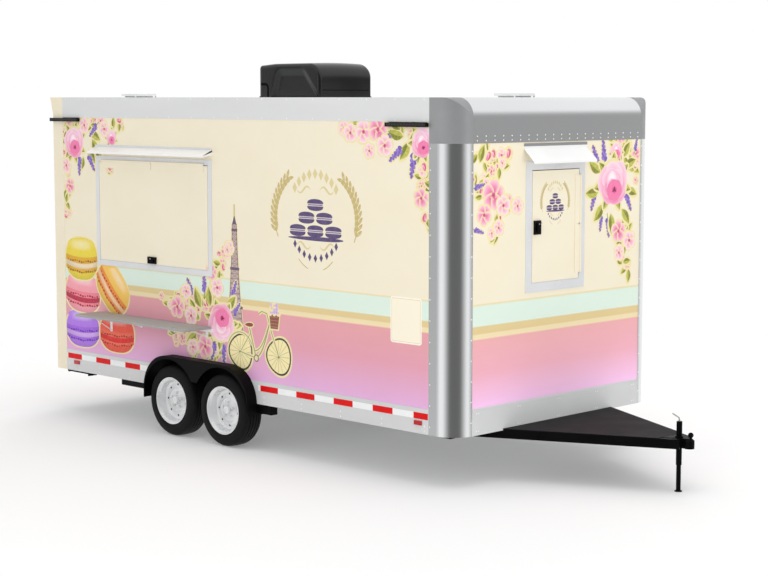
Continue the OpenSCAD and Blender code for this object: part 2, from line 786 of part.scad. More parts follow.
vent_hole = vent_w - 50;              // clear of the lid's rim as it swings
vents = [[-vent_front, 0], [-body_len + vent_rear, vent_side]];
vent_pin_d = 8;
vent_pin_x = vent_w / 2 - 11;        // hinge line from the vent's middle
vent_pin_z = vent_h - 12;
lid_t = 3;
lid_low = vent_h - 20;               // lower edge of the lid's rim

module air_conditioner() place() color("#242425")
    translate([-ac_back - ac_len / 2, -ac_w / 2, body_h]) {
        cube([ac_len, ac_w, ac_h * 0.3]);
        translate([0, ac_w, 0]) rotate([90, 0, 0]) linear_extrude(ac_w) {
            nose = ac_h * 0.4;
            square([ac_len - nose, ac_h]);
            translate([ac_len - nose - 1, 0]) square([nose + 1, ac_h - nose]);
            translate([ac_len - nose, ac_h - nose]) circle(nose);
        }
    }

module vent_base(v) translate([v[0], v[1], body_h]) {
    difference() {
        union() {
            box([-vent_w / 2 - 16, -vent_w / 2 - 16, 0], [vent_w / 2 + 16, vent_w / 2 + 16, 2]);
            box([-vent_hole / 2 - lid_t, -vent_hole / 2 - lid_t, 0],
                [vent_hole / 2 + lid_t, vent_hole / 2 + lid_t, vent_pin_z]);
        }
        box([-vent_hole / 2, -vent_hole / 2, -1], [vent_hole / 2, vent_hole / 2, vent_h]);
    }
    // ears with the stub pins of the lid
    both_sides() {
        box([vent_pin_x - 8, vent_w / 2 + 2, 0], [vent_pin_x + 8, vent_w / 2 + 6, vent_pin_z + 6]);
        translate([vent_pin_x, vent_w / 2 + 3, vent_pin_z]) rotate([90, 0, 0])
            cylinder(d = vent_pin_d, h = 8);
    }
}

module vent_bases() place() color("#eceded") for (v = vents) vent_base(v);

module vent_lid(v) place() color("#f2f3f3") translate([v[0], v[1], body_h]) difference() {
    box([-vent_w / 2, -vent_w / 2, lid_low], [vent_w / 2, vent_w / 2, vent_h]);
    box([-vent_w / 2 + lid_t, -vent_w / 2 + lid_t, lid_low - 1],
        [vent_w / 2 - lid_t, vent_w / 2 - lid_t, vent_h - lid_t]);
    translate([vent_pin_x, vent_w / 2 + 1, vent_pin_z]) rotate([90, 0, 0])
        cylinder(d = vent_pin_d + 2 * pin_gap, h = vent_w + 2);
}

module vent_lid_front() vent_lid(vents[0]);
module vent_lid_rear() vent_lid(vents[1]);

// ---- lights ----

// Light bar from x, with its foot on the wall between x0 and x1.
module light_bar(x, x0, x1) translate([0, -half_w, body_h - rail_h - bar_h - 2]) {
    box([x, -bar_out, 0], [x + bar_len, -trim_t - 3, bar_h - 4]);
    box([x0, -trim_t - 4, 6], [x1, 0, bar_h]);
}

module light_bars() place() color("#0a0a0b") {
    light_bar(-bar_front - bar_len, -bar_front - bar_len + 20, -bar_front - 20);
    light_bar(-body_len - bar_past, -body_len + rear_post_w + 10, -body_len - bar_past + bar_len - 20);
}

marker_len = 72;
marker_h = 32;
marker_z = 64;
module marker_lights() place() color("#c41216") both_sides()
    for (x = [-post_side - 64 - marker_len, -body_len + rear_post_w + 122])
        box([x, skin_y, marker_z], [x + marker_len, skin_y + 12, marker_z + marker_h]);

tail_d = 108;
tail_t = 22;
tail_z = 330;
module tail_lights() place() color("#b01216") both_sides()
    translate([-body_len - trim_t, half_w - rear_post_w / 2, tail_z]) rotate([0, -90, 0])
        cylinder(d = tail_d, h = tail_t);

bumper_in = 60;                      // ends of the bumper in from the sides
bumper_t = 76;
bumper_gap = 14;                     // from the rear wall to the bumper
bumper_arm_w = 80;
module rear_bumper() place() color("#161617") {
    box([-body_len - bumper_gap - bumper_t, -half_w + bumper_in, -2],
        [-body_len - bumper_gap, half_w - bumper_in, bumper_t - 2]);
    for (s = [-1, 1]) translate([-body_len, s * (beam_y - 140), 0])
        box([-bumper_gap - 1, -bumper_arm_w / 2, 5], [-trim_t, bumper_arm_w / 2, tube_h - 5]);
}

// ---- rear stabilisers ----

prop_x = -body_len + tube_w / 2;      // pivots hang under the rear end member
prop_y = half_w - 122;
prop_z = -28;
cheek_t = 8;
cheek_r = 18;
cheek_gap = 44;                       // between the middles of a leg's two cheeks
prop_w = 30;
prop_foot_w = 90;
module stabiliser_brackets() place() color("#131314") both_sides() for (s = [-1, 1])
    translate([prop_x, prop_y + s * cheek_gap / 2 + cheek_t / 2, prop_z]) rotate([90, 0, 0]) difference() {
        union() {
            linear_extrude(cheek_t) translate([-24, 0]) square([48, -prop_z]);
            cylinder(r = cheek_r, h = cheek_t);
        }
        translate([0, 0, -1]) cylinder(d = prop_pin_d + 2 * pin_gap, h = cheek_t + 2);
    }

// Swing-down leg, stowed level and pointing forwards.
module stabiliser(s) place() color("#131314") translate([prop_x, s * prop_y, prop_z]) {
    pin_half = cheek_gap / 2 + cheek_t / 2 + 1;
    rotate([90, 0, 0]) translate([0, 0, -pin_half]) cylinder(d = prop_pin_d, h = 2 * pin_half);
    rotate([90, 0, 0]) translate([0, 0, -prop_w / 2]) cylinder(d = prop_w - 2, h = prop_w);
    box([0, -prop_w / 2, -prop_w / 2 + 1], [prop_len - 12, prop_w / 2, prop_w / 2 - 1]);
    box([prop_len - 13, -prop_foot_w / 2, -22], [prop_len, prop_foot_w / 2, 18]);
}

module stabiliser_right() stabiliser(-1);
module stabiliser_left() stabiliser(1);

main_beams();
cross_members();
side_channels();
tongue_beams();
tongue_deck();
coupler();
jack_tube();
jack_leg();
jack_crank();
floor_deck();
roof_panel();
right_wall();
left_wall();
front_wall();
rear_wall();
corner_posts();
front_cap();
corner_caps();
top_rails();
rear_posts();
rear_header();
skirts();
serving_frame();
serving_hatch();
serving_latch();
serving_hood();
serving_shelf();
shelf_brackets();
front_frame();
front_hatch();
front_latch();
front_hood();
door_frame();
rear_door();
door_handle();
fenders();
axles();
tyre_fr();
tyre_fl();
tyre_rr();
tyre_rl();
rim_fr();
rim_fl();
rim_rr();
rim_rl();
air_conditioner();
vent_bases();
vent_lid_front();
vent_lid_rear();
light_bars();
stabiliser_brackets();
stabiliser_right();
stabiliser_left();
tail_lights();
marker_lights();
rear_bumper();
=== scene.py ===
import math
import random

import bmesh
import bpy
from mathutils import Matrix, Vector
from mathutils.geometry import delaunay_2d_cdt


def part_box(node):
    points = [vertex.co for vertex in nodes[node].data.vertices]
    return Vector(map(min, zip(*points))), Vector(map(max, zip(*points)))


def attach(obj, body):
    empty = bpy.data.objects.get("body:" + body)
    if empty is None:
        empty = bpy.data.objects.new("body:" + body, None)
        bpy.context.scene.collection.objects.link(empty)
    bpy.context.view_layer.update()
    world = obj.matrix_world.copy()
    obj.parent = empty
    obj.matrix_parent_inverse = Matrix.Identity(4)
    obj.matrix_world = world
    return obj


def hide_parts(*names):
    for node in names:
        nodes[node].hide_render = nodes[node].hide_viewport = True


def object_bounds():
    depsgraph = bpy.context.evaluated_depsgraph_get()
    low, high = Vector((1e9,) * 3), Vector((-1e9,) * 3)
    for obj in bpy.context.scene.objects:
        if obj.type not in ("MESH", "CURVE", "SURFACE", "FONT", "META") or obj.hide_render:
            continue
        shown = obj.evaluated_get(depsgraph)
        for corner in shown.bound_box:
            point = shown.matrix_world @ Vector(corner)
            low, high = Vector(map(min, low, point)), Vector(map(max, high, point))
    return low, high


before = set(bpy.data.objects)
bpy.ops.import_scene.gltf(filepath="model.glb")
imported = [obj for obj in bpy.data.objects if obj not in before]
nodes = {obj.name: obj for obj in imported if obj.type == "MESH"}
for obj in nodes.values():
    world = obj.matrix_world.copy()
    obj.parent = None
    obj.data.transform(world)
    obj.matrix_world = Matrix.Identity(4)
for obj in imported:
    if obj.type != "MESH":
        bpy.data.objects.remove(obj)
cadLow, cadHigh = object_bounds()
scene = bpy.context.scene
print("frame loaded:", len(nodes), "parts")

# planes that everything is laid out from, in metres
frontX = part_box("front_wall")[1].x
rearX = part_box("rear_wall")[0].x
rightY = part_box("right_wall")[0].y
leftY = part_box("left_wall")[1].y
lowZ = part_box("skirts")[0].z
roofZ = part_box("roof_panel")[1].z
groundZ = cadLow.z


def tone(code):  # six hex digits to linear colour
    values = [int(code[i:i + 2], 16) / 255 for i in (0, 2, 4)]
    return [v / 12.92 if v <= 0.04045 else ((v + 0.055) / 1.055) ** 2.4 for v in values] + [1.0]


# camera, lamps and floor
studio = {
    "cameraPlace": (7.214, -10.411, 2.480), "yaw": 134.67, "pitch": -6.15, "lens": 82.88,
    "skyStrength": 0.78,
    "lamps": {  # place, power, size
        "sideFill": ((3.6, -10.0, 3.2), 230, 6.0),
        "frontFill": ((9.5, 1.5, 0.55), 218, 3.5),
        "backKey": ((-9.0, 8.0, 9.0), 430, 8.0),
        "topFill": ((-1.0, -1.0, 11.0), 330, 9.0),
    },
    "darkSides": (  # heading, where it starts and is full, how much light is left
        ((0.74, -0.67, 0.0), 0.58, 0.90, 0.14),
        ((0.67, 0.74, 0.0), 0.91, 0.995, 0.30),
        ((-0.66, -0.74, -0.08), 0.96, 0.99, 0.40),
    ),
    "floorColour": "f6f6f6", "floorFade": (4.2, 7.2), "floorLift": 0.19, "floorHalf": 60,
}

lensData = bpy.data.cameras.new("viewCamera")
lensData.lens = studio["lens"]
lensData.sensor_width = 36
lensData.clip_end = 200
viewCamera = bpy.data.objects.new("viewCamera", lensData)
viewCamera.location = studio["cameraPlace"]
viewCamera.rotation_euler = (math.radians(90 + studio["pitch"]), 0, math.radians(studio["yaw"] - 90))
scene.collection.objects.link(viewCamera)
scene.camera = viewCamera
scene.view_settings.view_transform = "Standard"

middle = Vector(((cadLow.x + cadHigh.x) / 2, 0, 0.9))
for name, (place, power, size) in studio["lamps"].items():
    data = bpy.data.lights.new(name, "AREA")
    data.energy = power
    data.size = size
    lamp = bpy.data.objects.new(name, data)
    lamp.location = place
    lamp.visible_glossy = False  # polished parts see the room, not the lamps
    lamp.rotation_euler = (middle - Vector(place)).to_track_quat("-Z", "Y").to_euler()
    scene.collection.objects.link(lamp)


def put(tree, kind, inputs=None, **settings):  # a node with its sockets filled or linked
    node = tree.nodes.new(kind)
    for key, value in settings.items():
        setattr(node, key, value)
    for key, value in (inputs or {}).items():
        if isinstance(value, bpy.types.NodeSocket):
            tree.links.new(value, node.inputs[key])
        else:
            node.inputs[key].default_value = value
    return node


def calc(tree, operation, first, second=0.0):
    return put(tree, "ShaderNodeMath", {0: first, 1: second}, operation=operation).outputs[0]


def rangeOf(tree, value, fromLow, fromHigh, low, high):
    limits = {"From Min": fromLow, "From Max": fromHigh, "To Min": low, "To Max": high}
    return put(tree, "ShaderNodeMapRange", {"Value": value, **limits}).outputs["Result"]


# a white room: polished parts also see its darker ends
world = bpy.data.worlds.new("studioSky")
world.use_nodes = True
scene.world = world
sky = world.node_tree
skyLight = sky.nodes["Background"]
skyLight.inputs["Color"].default_value = (1, 1, 1, 1)
skyLight.inputs["Strength"].default_value = studio["skyStrength"]
skyRay = put(sky, "ShaderNodeLightPath").outputs
heading = put(sky, "ShaderNodeTexCoord").outputs["Generated"]
room = 1.0
for side, start, full, darkest in studio["darkSides"]:
    facing = put(sky, "ShaderNodeVectorMath", {0: heading, 1: side}, operation="DOT_PRODUCT").outputs["Value"]
    room = calc(sky, "MULTIPLY", rangeOf(sky, facing, start, full, 1.0, darkest), room)
room = calc(sky, "MAXIMUM", room, skyRay["Is Camera Ray"])
skyWhite = put(sky, "ShaderNodeBackground", {"Color": (1, 1, 1, 1), "Strength": room})
seen = calc(sky, "MAXIMUM", skyRay["Is Camera Ray"], skyRay["Is Glossy Ray"])
seen = calc(sky, "MAXIMUM", seen, skyRay["Is Transmission Ray"])
skyMix = put(sky, "ShaderNodeMixShader", {0: seen, 1: skyLight.outputs[0], 2: skyWhite.outputs[0]})
sky.links.new(skyMix.outputs[0], sky.nodes["World Output"].inputs["Surface"])

# the floor turns into the white room away from the trailer
half = studio["floorHalf"]
floorMesh = bpy.data.meshes.new("floor")
floorCorners = [(u * half, v * half, groundZ) for u, v in ((-1, -1), (1, -1), (1, 1), (-1, 1))]
floorMesh.from_pydata(floorCorners, [], [(0, 1, 2, 3)])
floor = bpy.data.objects.new("floor", floorMesh)
scene.collection.objects.link(floor)
floorPaint = bpy.data.materials.new("floorPaint")
floorPaint.use_nodes = True
floorTree = floorPaint.node_tree
floorShader = floorTree.nodes["Principled BSDF"]
floorShader.inputs["Base Color"].default_value = tone(studio["floorColour"])
floorShader.inputs["Roughness"].default_value = 0.9
floorShader.inputs["Specular IOR Level"].default_value = 0.1
spot = put(floorTree, "ShaderNodeTexCoord").outputs["Object"]
away = put(floorTree, "ShaderNodeVectorMath", {0: spot, 1: tuple(middle)}, operation="DISTANCE")
far = rangeOf(floorTree, away.outputs["Value"], *studio["floorFade"], studio["floorLift"], 1.0)
far = calc(floorTree, "MULTIPLY", far, put(floorTree, "ShaderNodeLightPath").outputs["Is Camera Ray"])
white = put(floorTree, "ShaderNodeEmission", {"Color": (1, 1, 1, 1), "Strength": 1.0}).outputs[0]
floorMix = put(floorTree, "ShaderNodeMixShader", {0: far, 1: floorShader.outputs[0], 2: white})
floorTree.links.new(floorMix.outputs[0], floorTree.nodes["Material Output"].inputs["Surface"])
floorMesh.materials.append(floorPaint)
floor.visible_glossy = False  # polished parts see the darker ends of the room instead
print("studio ready")


def blankFinish(name):
    material = bpy.data.materials.new(name)
    material.use_nodes = True
    tree = material.node_tree
    return material, tree, tree.nodes["Principled BSDF"]


def noiseAt(tree, place, stretch, scale, detail=4.0):
    spread = put(tree, "ShaderNodeMapping", {"Vector": place, "Scale": stretch}).outputs["Vector"]
    values = {"Vector": spread, "Scale": scale, "Detail": detail}
    return put(tree, "ShaderNodeTexNoise", values).outputs["Fac"]


def spreadTo(tree, value, low, high):
    return rangeOf(tree, value, 0.3, 0.7, low, high)


def mixColour(tree, factor, first, second, blend="MIX"):
    mixer = put(tree, "ShaderNodeMix", data_type="RGBA", blend_type=blend)
    for socket, value in ((mixer.inputs[0], factor), (mixer.inputs[6], first), (mixer.inputs[7], second)):
        if isinstance(value, bpy.types.NodeSocket):
            tree.links.new(value, socket)
        else:
            socket.default_value = value
    return mixer.outputs[2]


# plain: lightest and darkest tone, roughness from and to, metal, coat, gloss
# grain: stretch of the pattern, size of its patches, size and height of the fine bumps, their strength
finishes = {
    "blackSteel": (("040404", "080808"), (0.42, 0.58), 0.0, 0.0, 0.08, (1, 1, 1), 5, 420, 0.0004, 0.25),
    "deckPaint": (("1e1e1f", "252526"), (0.6, 0.72), 0.0, 0.0, 0.10, (1, 1, 1), 4, 300, 0.0005, 0.3),
    "creamPaint": (("f2e8d0", "efe4c9"), (0.34, 0.42), 0.0, 0.15, 0.4, (1, 1, 1), 2.5, 60, 0.0006, 0.05),
    "roofSkin": (("e6e7e8", "dadcdd"), (0.42, 0.55), 0.0, 0.1, 0.4, (1, 1, 1), 1.6, 8, 0.002, 0.08),
    "postMetal": (("ecedee", "e4e5e6"), (0.2, 0.25), 1.0, 0.0, 0.5, (1, 1, 0.2), 1.2, 900, 0.0001, 0.04),
    "capMetal": (("ecedee", "e2e3e4"), (0.22, 0.28), 1.0, 0.0, 0.5, (1, 0.2, 1), 1.2, 900, 0.0001, 0.04),
    "cornerMetal": (("a0a1a2", "959697"), (0.45, 0.55), 0.45, 0.0, 0.5, (1, 1, 1), 3, 500, 0.0002, 0.08),
    "railGrey": (("dddede", "d5d6d6"), (0.42, 0.5), 0.0, 0.05, 0.35, (0.4, 1, 2), 1.2, 12, 0.0005, 0.03),
    "skirtGrey": (("d4d5d5", "cbcccc"), (0.42, 0.5), 0.0, 0.05, 0.35, (0.4, 1, 2), 1.4, 14, 0.0005, 0.03),
    "frameGrey": (("dfe0e1", "d7d8da"), (0.4, 0.48), 0.1, 0.0, 0.35, (1, 1, 1), 3, 400, 0.0003, 0.08),
    "hoodWhite": (("f5f5f4", "efefee"), (0.3, 0.38), 0.0, 0.2, 0.4, (1, 1, 1), 3, 10, 0.0005, 0.03),
    "counterMetal": (("a9a8a6", "9f9e9c"), (0.55, 0.65), 0.1, 0.0, 0.3, (0.6, 12, 12), 5, 60, 0.0003, 0.1),
    "blackMould": (("060607", "0b0b0c"), (0.36, 0.48), 0.0, 0.0, 0.15, (1, 1, 1), 6, 520, 0.0003, 0.25),
    "glossMould": (("060607", "0a0a0b"), (0.20, 0.26), 0.0, 0.1, 0.45, (1, 1, 1), 4, 40, 0.0004, 0.05),
    # near-black matte that stands in as painted shade inside holes, grooves, slots and throats
    "recessShadeBlack": (("030303", "060606"), (0.7, 0.8), 0.0, 0.0, 0.1, (1, 1, 1), 8, 300, 0.0003, 0.2),
    "whiteMould": (("f0f1f1", "e6e8e8"), (0.4, 0.5), 0.0, 0.1, 0.4, (1, 1, 1), 6, 260, 0.0003, 0.12),
    "tyreRubber": (("0e0e0e", "161616"), (0.65, 0.8), 0.0, 0.0, 0.15, (1, 1, 1), 9, 380, 0.0004, 0.3),
    "rimSilver": (("e8e9ea", "dcddde"), (0.2, 0.3), 0.3, 0.25, 0.5, (1, 1, 1), 6, 500, 0.0002, 0.05),
    "zincSteel": (("c4c6c8", "abadb0"), (0.28, 0.42), 0.9, 0.0, 0.5, (1, 1, 1), 30, 200, 0.0002, 0.1),
    "rivetMetal": (("f6f6f6", "ededee"), (0.35, 0.45), 0.0, 0.0, 0.4, (1, 1, 1), 30, 200, 0.0002, 0.1),
    "redTape": (("e00608", "d40406"), (0.4, 0.46), 0.0, 0.0, 0.2, (1, 1, 1), 20, 700, 0.0002, 0.3),
    "whiteTape": (("f4f5f6", "ecefef"), (0.3, 0.36), 0.0, 0.3, 0.5, (1, 1, 1), 20, 700, 0.0002, 0.3),
    "sealRubber": (("232324", "2b2b2c"), (0.6, 0.7), 0.0, 0.0, 0.3, (1, 1, 1), 10, 300, 0.0003, 0.2),
    "redLens": (("c40d12", "a90a0e"), (0.14, 0.2), 0.0, 0.5, 0.5, (60, 60, 1), 10, 90, 0.0006, 0.3),
}
finishBy = {}
for name, look in finishes.items():
    tones, rough, metal, coat, gloss, stretch, patchSize, bumpSize, bumpHeight, bumpStrength = look
    material, tree, shader = blankFinish(name)
    place = put(tree, "ShaderNodeTexCoord").outputs["Object"]
    patch = noiseAt(tree, place, stretch, patchSize)
    share = spreadTo(tree, patch, 0.0, 1.0)
    tree.links.new(mixColour(tree, share, tone(tones[0]), tone(tones[1])), shader.inputs["Base Color"])
    tree.links.new(spreadTo(tree, patch, *rough), shader.inputs["Roughness"])
    fine = noiseAt(tree, place, stretch, bumpSize, 3.0)
    bump = put(tree, "ShaderNodeBump", {"Height": fine, "Strength": bumpStrength, "Distance": bumpHeight})
    tree.links.new(bump.outputs["Normal"], shader.inputs["Normal"])
    shader.inputs["Metallic"].default_value = metal
    shader.inputs["Coat Weight"].default_value = coat
    shader.inputs["Coat Roughness"].default_value = 0.12
    shader.inputs["Specular IOR Level"].default_value = gloss
    finishBy[name] = material

# vinyl bands, top first: height above the skirt's lower edge, tone just above it, tone just below it
wraps = {
    "sideWrap": ((0.984, "f2e9d2", "ead9a4"), (0.974, "ead9a4", "ddefe2"), (0.832, "ddefe2", "e2cc95"),
                 (0.786, "e1ca92", "f0deb4"), (0.748, "f0deb2", "e5a3a8"), (0.500, "e3a0b2", "e3a0b2"),
                 (0.187, "e3b0dd", "d2d4d4")),
    # the front wrap's pink and lilac bands are painted lighter than the side's, as painted light that makes
    # up for the shade on the lower front; the rear wall, front hatch and rear door wear it too
    "frontWrapPaintedLight": ((0.955, "f2e9d2", "ead9a4"), (0.944, "ead9a4", "ddefe2"), (0.792, "ddefe2", "e2cc95"),
                  (0.742, "e1ca92", "f0deb4"), (0.697, "f0deb2", "eeafb1"), (0.460, "f2b1c1", "f2b1c1"),
                  (0.200, "fdcbf5", "d2d4d4")),
}
wrapTop, wrapShade, insideTone, wallDepth = "f2e9d2", "e3d6b8", "eceded", 0.007
for name, bands in wraps.items():
    material, tree, shader = blankFinish(name)
    place = put(tree, "ShaderNodeTexCoord").outputs["Object"]
    parts = put(tree, "ShaderNodeSeparateXYZ", {0: place}).outputs
    level = rangeOf(tree, parts["Z"], lowZ, roofZ, 0.0, 1.0)
    ramp = put(tree, "ShaderNodeValToRGB", {"Fac": level})
    tall = roofZ - lowZ
    stops = [(0.0, bands[-1][2])]
    for height, above, below in reversed(bands):
        stops += [(height / tall - 0.0003, below), (height / tall + 0.0003, above)]
    stops.append((1.0, wrapTop))
    elements = ramp.color_ramp.elements
    for k, (position, colour) in enumerate(stops):
        stop = elements[k] if k < 2 else elements.new(position)
        stop.position, stop.color = position, tone(colour)
    mottle = noiseAt(tree, place, (1, 1, 1.4), 2.2, 5.0)
    worn = spreadTo(tree, mottle, 0.0, 0.10)
    paper = mixColour(tree, worn, ramp.outputs["Color"], tone(wrapShade), "MULTIPLY")
    # the panel's inner side is plain white sheet
    skins = [calc(tree, "GREATER_THAN", calc(tree, "ABSOLUTE", parts["Y"]), leftY - wallDepth),
             calc(tree, "GREATER_THAN", parts["X"], frontX - wallDepth),
             calc(tree, "LESS_THAN", parts["X"], rearX + wallDepth)]
    outside = calc(tree, "MAXIMUM", calc(tree, "MAXIMUM", skins[0], skins[1]), skins[2])
    tree.links.new(mixColour(tree, outside, tone(insideTone), paper), shader.inputs["Base Color"])
    tree.links.new(spreadTo(tree, mottle, 0.34, 0.42), shader.inputs["Roughness"])
    wave = noiseAt(tree, place, (1, 1, 1), 1.3, 1.0)
    bump = put(tree, "ShaderNodeBump", {"Height": wave, "Strength": 0.05, "Distance": 0.02})
    tree.links.new(bump.outputs["Normal"], shader.inputs["Normal"])
    shader.inputs["Specular IOR Level"].default_value = 0.35
    shader.inputs["Coat Weight"].default_value = 0.1
    shader.inputs["Coat Roughness"].default_value = 0.15
    finishBy[name] = material

# tread plate of the cabin floor, with raised lozenges
material, tree, shader = blankFinish("treadPlate")
place = put(tree, "ShaderNodeTexCoord").outputs["Object"]
lattice = {"Vector": place, "Rotation": (0, 0, math.radians(45)), "Scale": (42, 14, 1)}
lattice = put(tree, "ShaderNodeMapping", lattice).outputs["Vector"]
cells = {"Vector": lattice, "Randomness": 0.0, "Scale": 1.0}
lozenge = put(tree, "ShaderNodeTexVoronoi", cells, voronoi_dimensions="2D")
raised = rangeOf(tree, lozenge.outputs["Distance"], 0.25, 0.35, 1.0, 0.0)
bump = put(tree, "ShaderNodeBump", {"Height": raised, "Strength": 0.5, "Distance": 0.002})
tree.links.new(bump.outputs["Normal"], shader.inputs["Normal"])
tree.links.new(mixColour(tree, raised, tone("9a9c9e"), tone("b4b6b8")), shader.inputs["Base Color"])
shader.inputs["Metallic"].default_value = 0.85
shader.inputs["Roughness"].default_value = 0.38
finishBy["treadPlate"] = material

# printed vinyl: each shape carries its own ink
material, tree, shader = blankFinish("printInk")
ink = put(tree, "ShaderNodeAttribute", attribute_name="ink").outputs["Color"]
place = put(tree, "ShaderNodeTexCoord").outputs["Object"]
wash = noiseAt(tree, place, (1, 1, 1), 30, 5.0)
washed = mixColour(tree, spreadTo(tree, wash, 0.0, 0.05), ink, (1, 1, 1, 1))
tree.links.new(washed, shader.inputs["Base Color"])
tree.links.new(spreadTo(tree, wash, 0.34, 0.42), shader.inputs["Roughness"])
shader.inputs["Specular IOR Level"].default_value = 0.2
finishBy["printInk"] = material
print("finishes ready:", len(finishBy))

# which finish each part wears
wears = {
    "blackSteel": ("main_beams", "cross_members", "side_channels", "tongue_beams", "coupler", "jack_tube",
                   "jack_leg", "axles", "fenders", "stabiliser_brackets", "stabiliser_right",
                   "stabiliser_left", "rear_bumper"),
    "deckPaint": ("tongue_deck",),
    "sideWrap": ("right_wall", "left_wall", "serving_hatch"),
    "frontWrapPaintedLight": ("front_wall", "rear_wall", "front_hatch", "rear_door"),
    "creamPaint": ("rear_posts", "rear_header"),
    "roofSkin": ("roof_panel",),
    "postMetal": ("corner_posts",),
    "capMetal": ("front_cap",),
    "cornerMetal": ("corner_caps",),
    "railGrey": ("top_rails",),
    "skirtGrey": ("skirts",),
    "frameGrey": ("serving_frame", "front_frame", "door_frame", "shelf_brackets"),
    "hoodWhite": ("serving_hood", "front_hood"),
    "counterMetal": ("serving_shelf",),
    "blackMould": ("serving_latch", "front_latch", "door_handle", "light_bars"),
    "glossMould": ("air_conditioner",),
    "whiteMould": ("vent_bases", "vent_lid_front", "vent_lid_rear"),
    "redLens": ("tail_lights", "marker_lights"),
    "treadPlate": ("floor_deck",),
    "zincSteel": ("jack_crank",),
    "tyreRubber": ("tyre_fr", "tyre_fl", "tyre_rr", "tyre_rl"),
    "rimSilver": ("rim_fr", "rim_fl", "rim_rr", "rim_rl"),
}
for finishName, parts in wears.items():
    for part in parts:
        data = nodes[part].data
        data.materials.clear()
        data.materials.append(finishBy[finishName])
print("parts painted")


def joinMesh(name, shape, finish, angle=35):  # merged, turned outwards, smooth up to the given angle
    bmesh.ops.remove_doubles(shape, verts=shape.verts, dist=1e-6)
    bmesh.ops.recalc_face_normals(shape, faces=shape.faces)
    data = bpy.data.meshes.new(name)
    shape.to_mesh(data)
    shape.free()
    data.shade_smooth()
    data.set_sharp_from_angle(angle=math.radians(angle))
    data.materials.append(finishBy[finish])
    piece = bpy.data.objects.new(name, data)
    scene.collection.objects.link(piece)
    return piece


def addPiece(name, shape, finish, body, angle=35, bevel=0.0):
    piece = joinMesh(name, shape, finish, angle)
    if bevel:
        edge = piece.modifiers.new("softEdge", "BEVEL")
        edge.width, edge.segments, edge.limit_method = bevel, 2, "ANGLE"
        edge.angle_limit = math.radians(40)
        edge.harden_normals = True
    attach(piece, body)
    return piece


def spinShape(shape, profile, centre, outward, steps=96):  # radius and offset, turned about the Y axis
    rings = []
    for radius, offset in profile:
        y = centre[1] + outward * offset
        count = 1 if radius < 1e-6 else steps
        turns = [math.tau * i / steps for i in range(count)]
        points = [(centre[0] + radius * math.cos(a), y, centre[2] + radius * math.sin(a)) for a in turns]
        rings.append([shape.verts.new(p) for p in points])
    last = len(rings) if len(rings[0]) > 1 else len(rings) - 1
    for k in range(last):
        first, second = rings[k], rings[(k + 1) % len(rings)]
        for i in range(steps):
            j = i + 1
            corners = [ring[n % len(ring)] for ring, n in ((first, i), (first, j), (second, j), (second, i))]
            corners = list(dict.fromkeys(corners))
            if len(corners) > 2:
                shape.faces.new(corners)


def addBlock(shape, low, high):
    spans = [(low[n], high[n]) for n in (0, 1, 2)]
    verts = [shape.verts.new((x, y, z)) for z in spans[2] for y in spans[1] for x in spans[0]]
    for face in ((0, 2, 3, 1), (4, 5, 7, 6), (0, 1, 5, 4), (2, 6, 7, 3), (0, 4, 6, 2), (1, 3, 7, 5)):
        shape.faces.new([verts[i] for i in face])


def addSlab(shape, axis, depth, across, up):  # a block laid on a wall that faces along one axis
    low, high = [0, 0, up[0]], [0, 0, up[1]]
    low[axis], high[axis] = depth
    low[1 - axis], high[1 - axis] = across
    addBlock(shape, low, high)


def addTube(shape, path, radius, sides=12):  # a round bar along points
    turns = [math.tau * k / sides for k in range(sides)]
    section = [Vector((radius * math.cos(a), radius * math.sin(a), 0)) for a in turns]
    rings = []
    for i, point in enumerate(path):
        ahead = Vector(path[min(i + 1, len(path) - 1)]) - Vector(path[max(i - 1, 0)])
        turn = ahead.to_track_quat("Z", "Y").to_matrix()
        rings.append([shape.verts.new(Vector(point) + turn @ corner) for corner in section])
    for a, b in zip(rings, rings[1:]):
        for k in range(sides):
            shape.faces.new((a[k], a[(k + 1) % sides], b[(k + 1) % sides], b[k]))
    shape.faces.new(rings[0])
    shape.faces.new(rings[-1])


def addPrism(shape, outline, low, high, axis):  # an outline in the other two axes, run along one axis
    ends = []
    for depth in (low, high):
        corners = [list(point) for point in outline]
        for corner in corners:
            corner.insert(axis, depth)
        ends.append([shape.verts.new(corner) for corner in corners])
    count = len(outline)
    for i in range(count):
        j = (i + 1) % count
        shape.faces.new((ends[0][i], ends[0][j], ends[1][j], ends[1][i]))
    shape.faces.new(ends[0])
    shape.faces.new(ends[1])


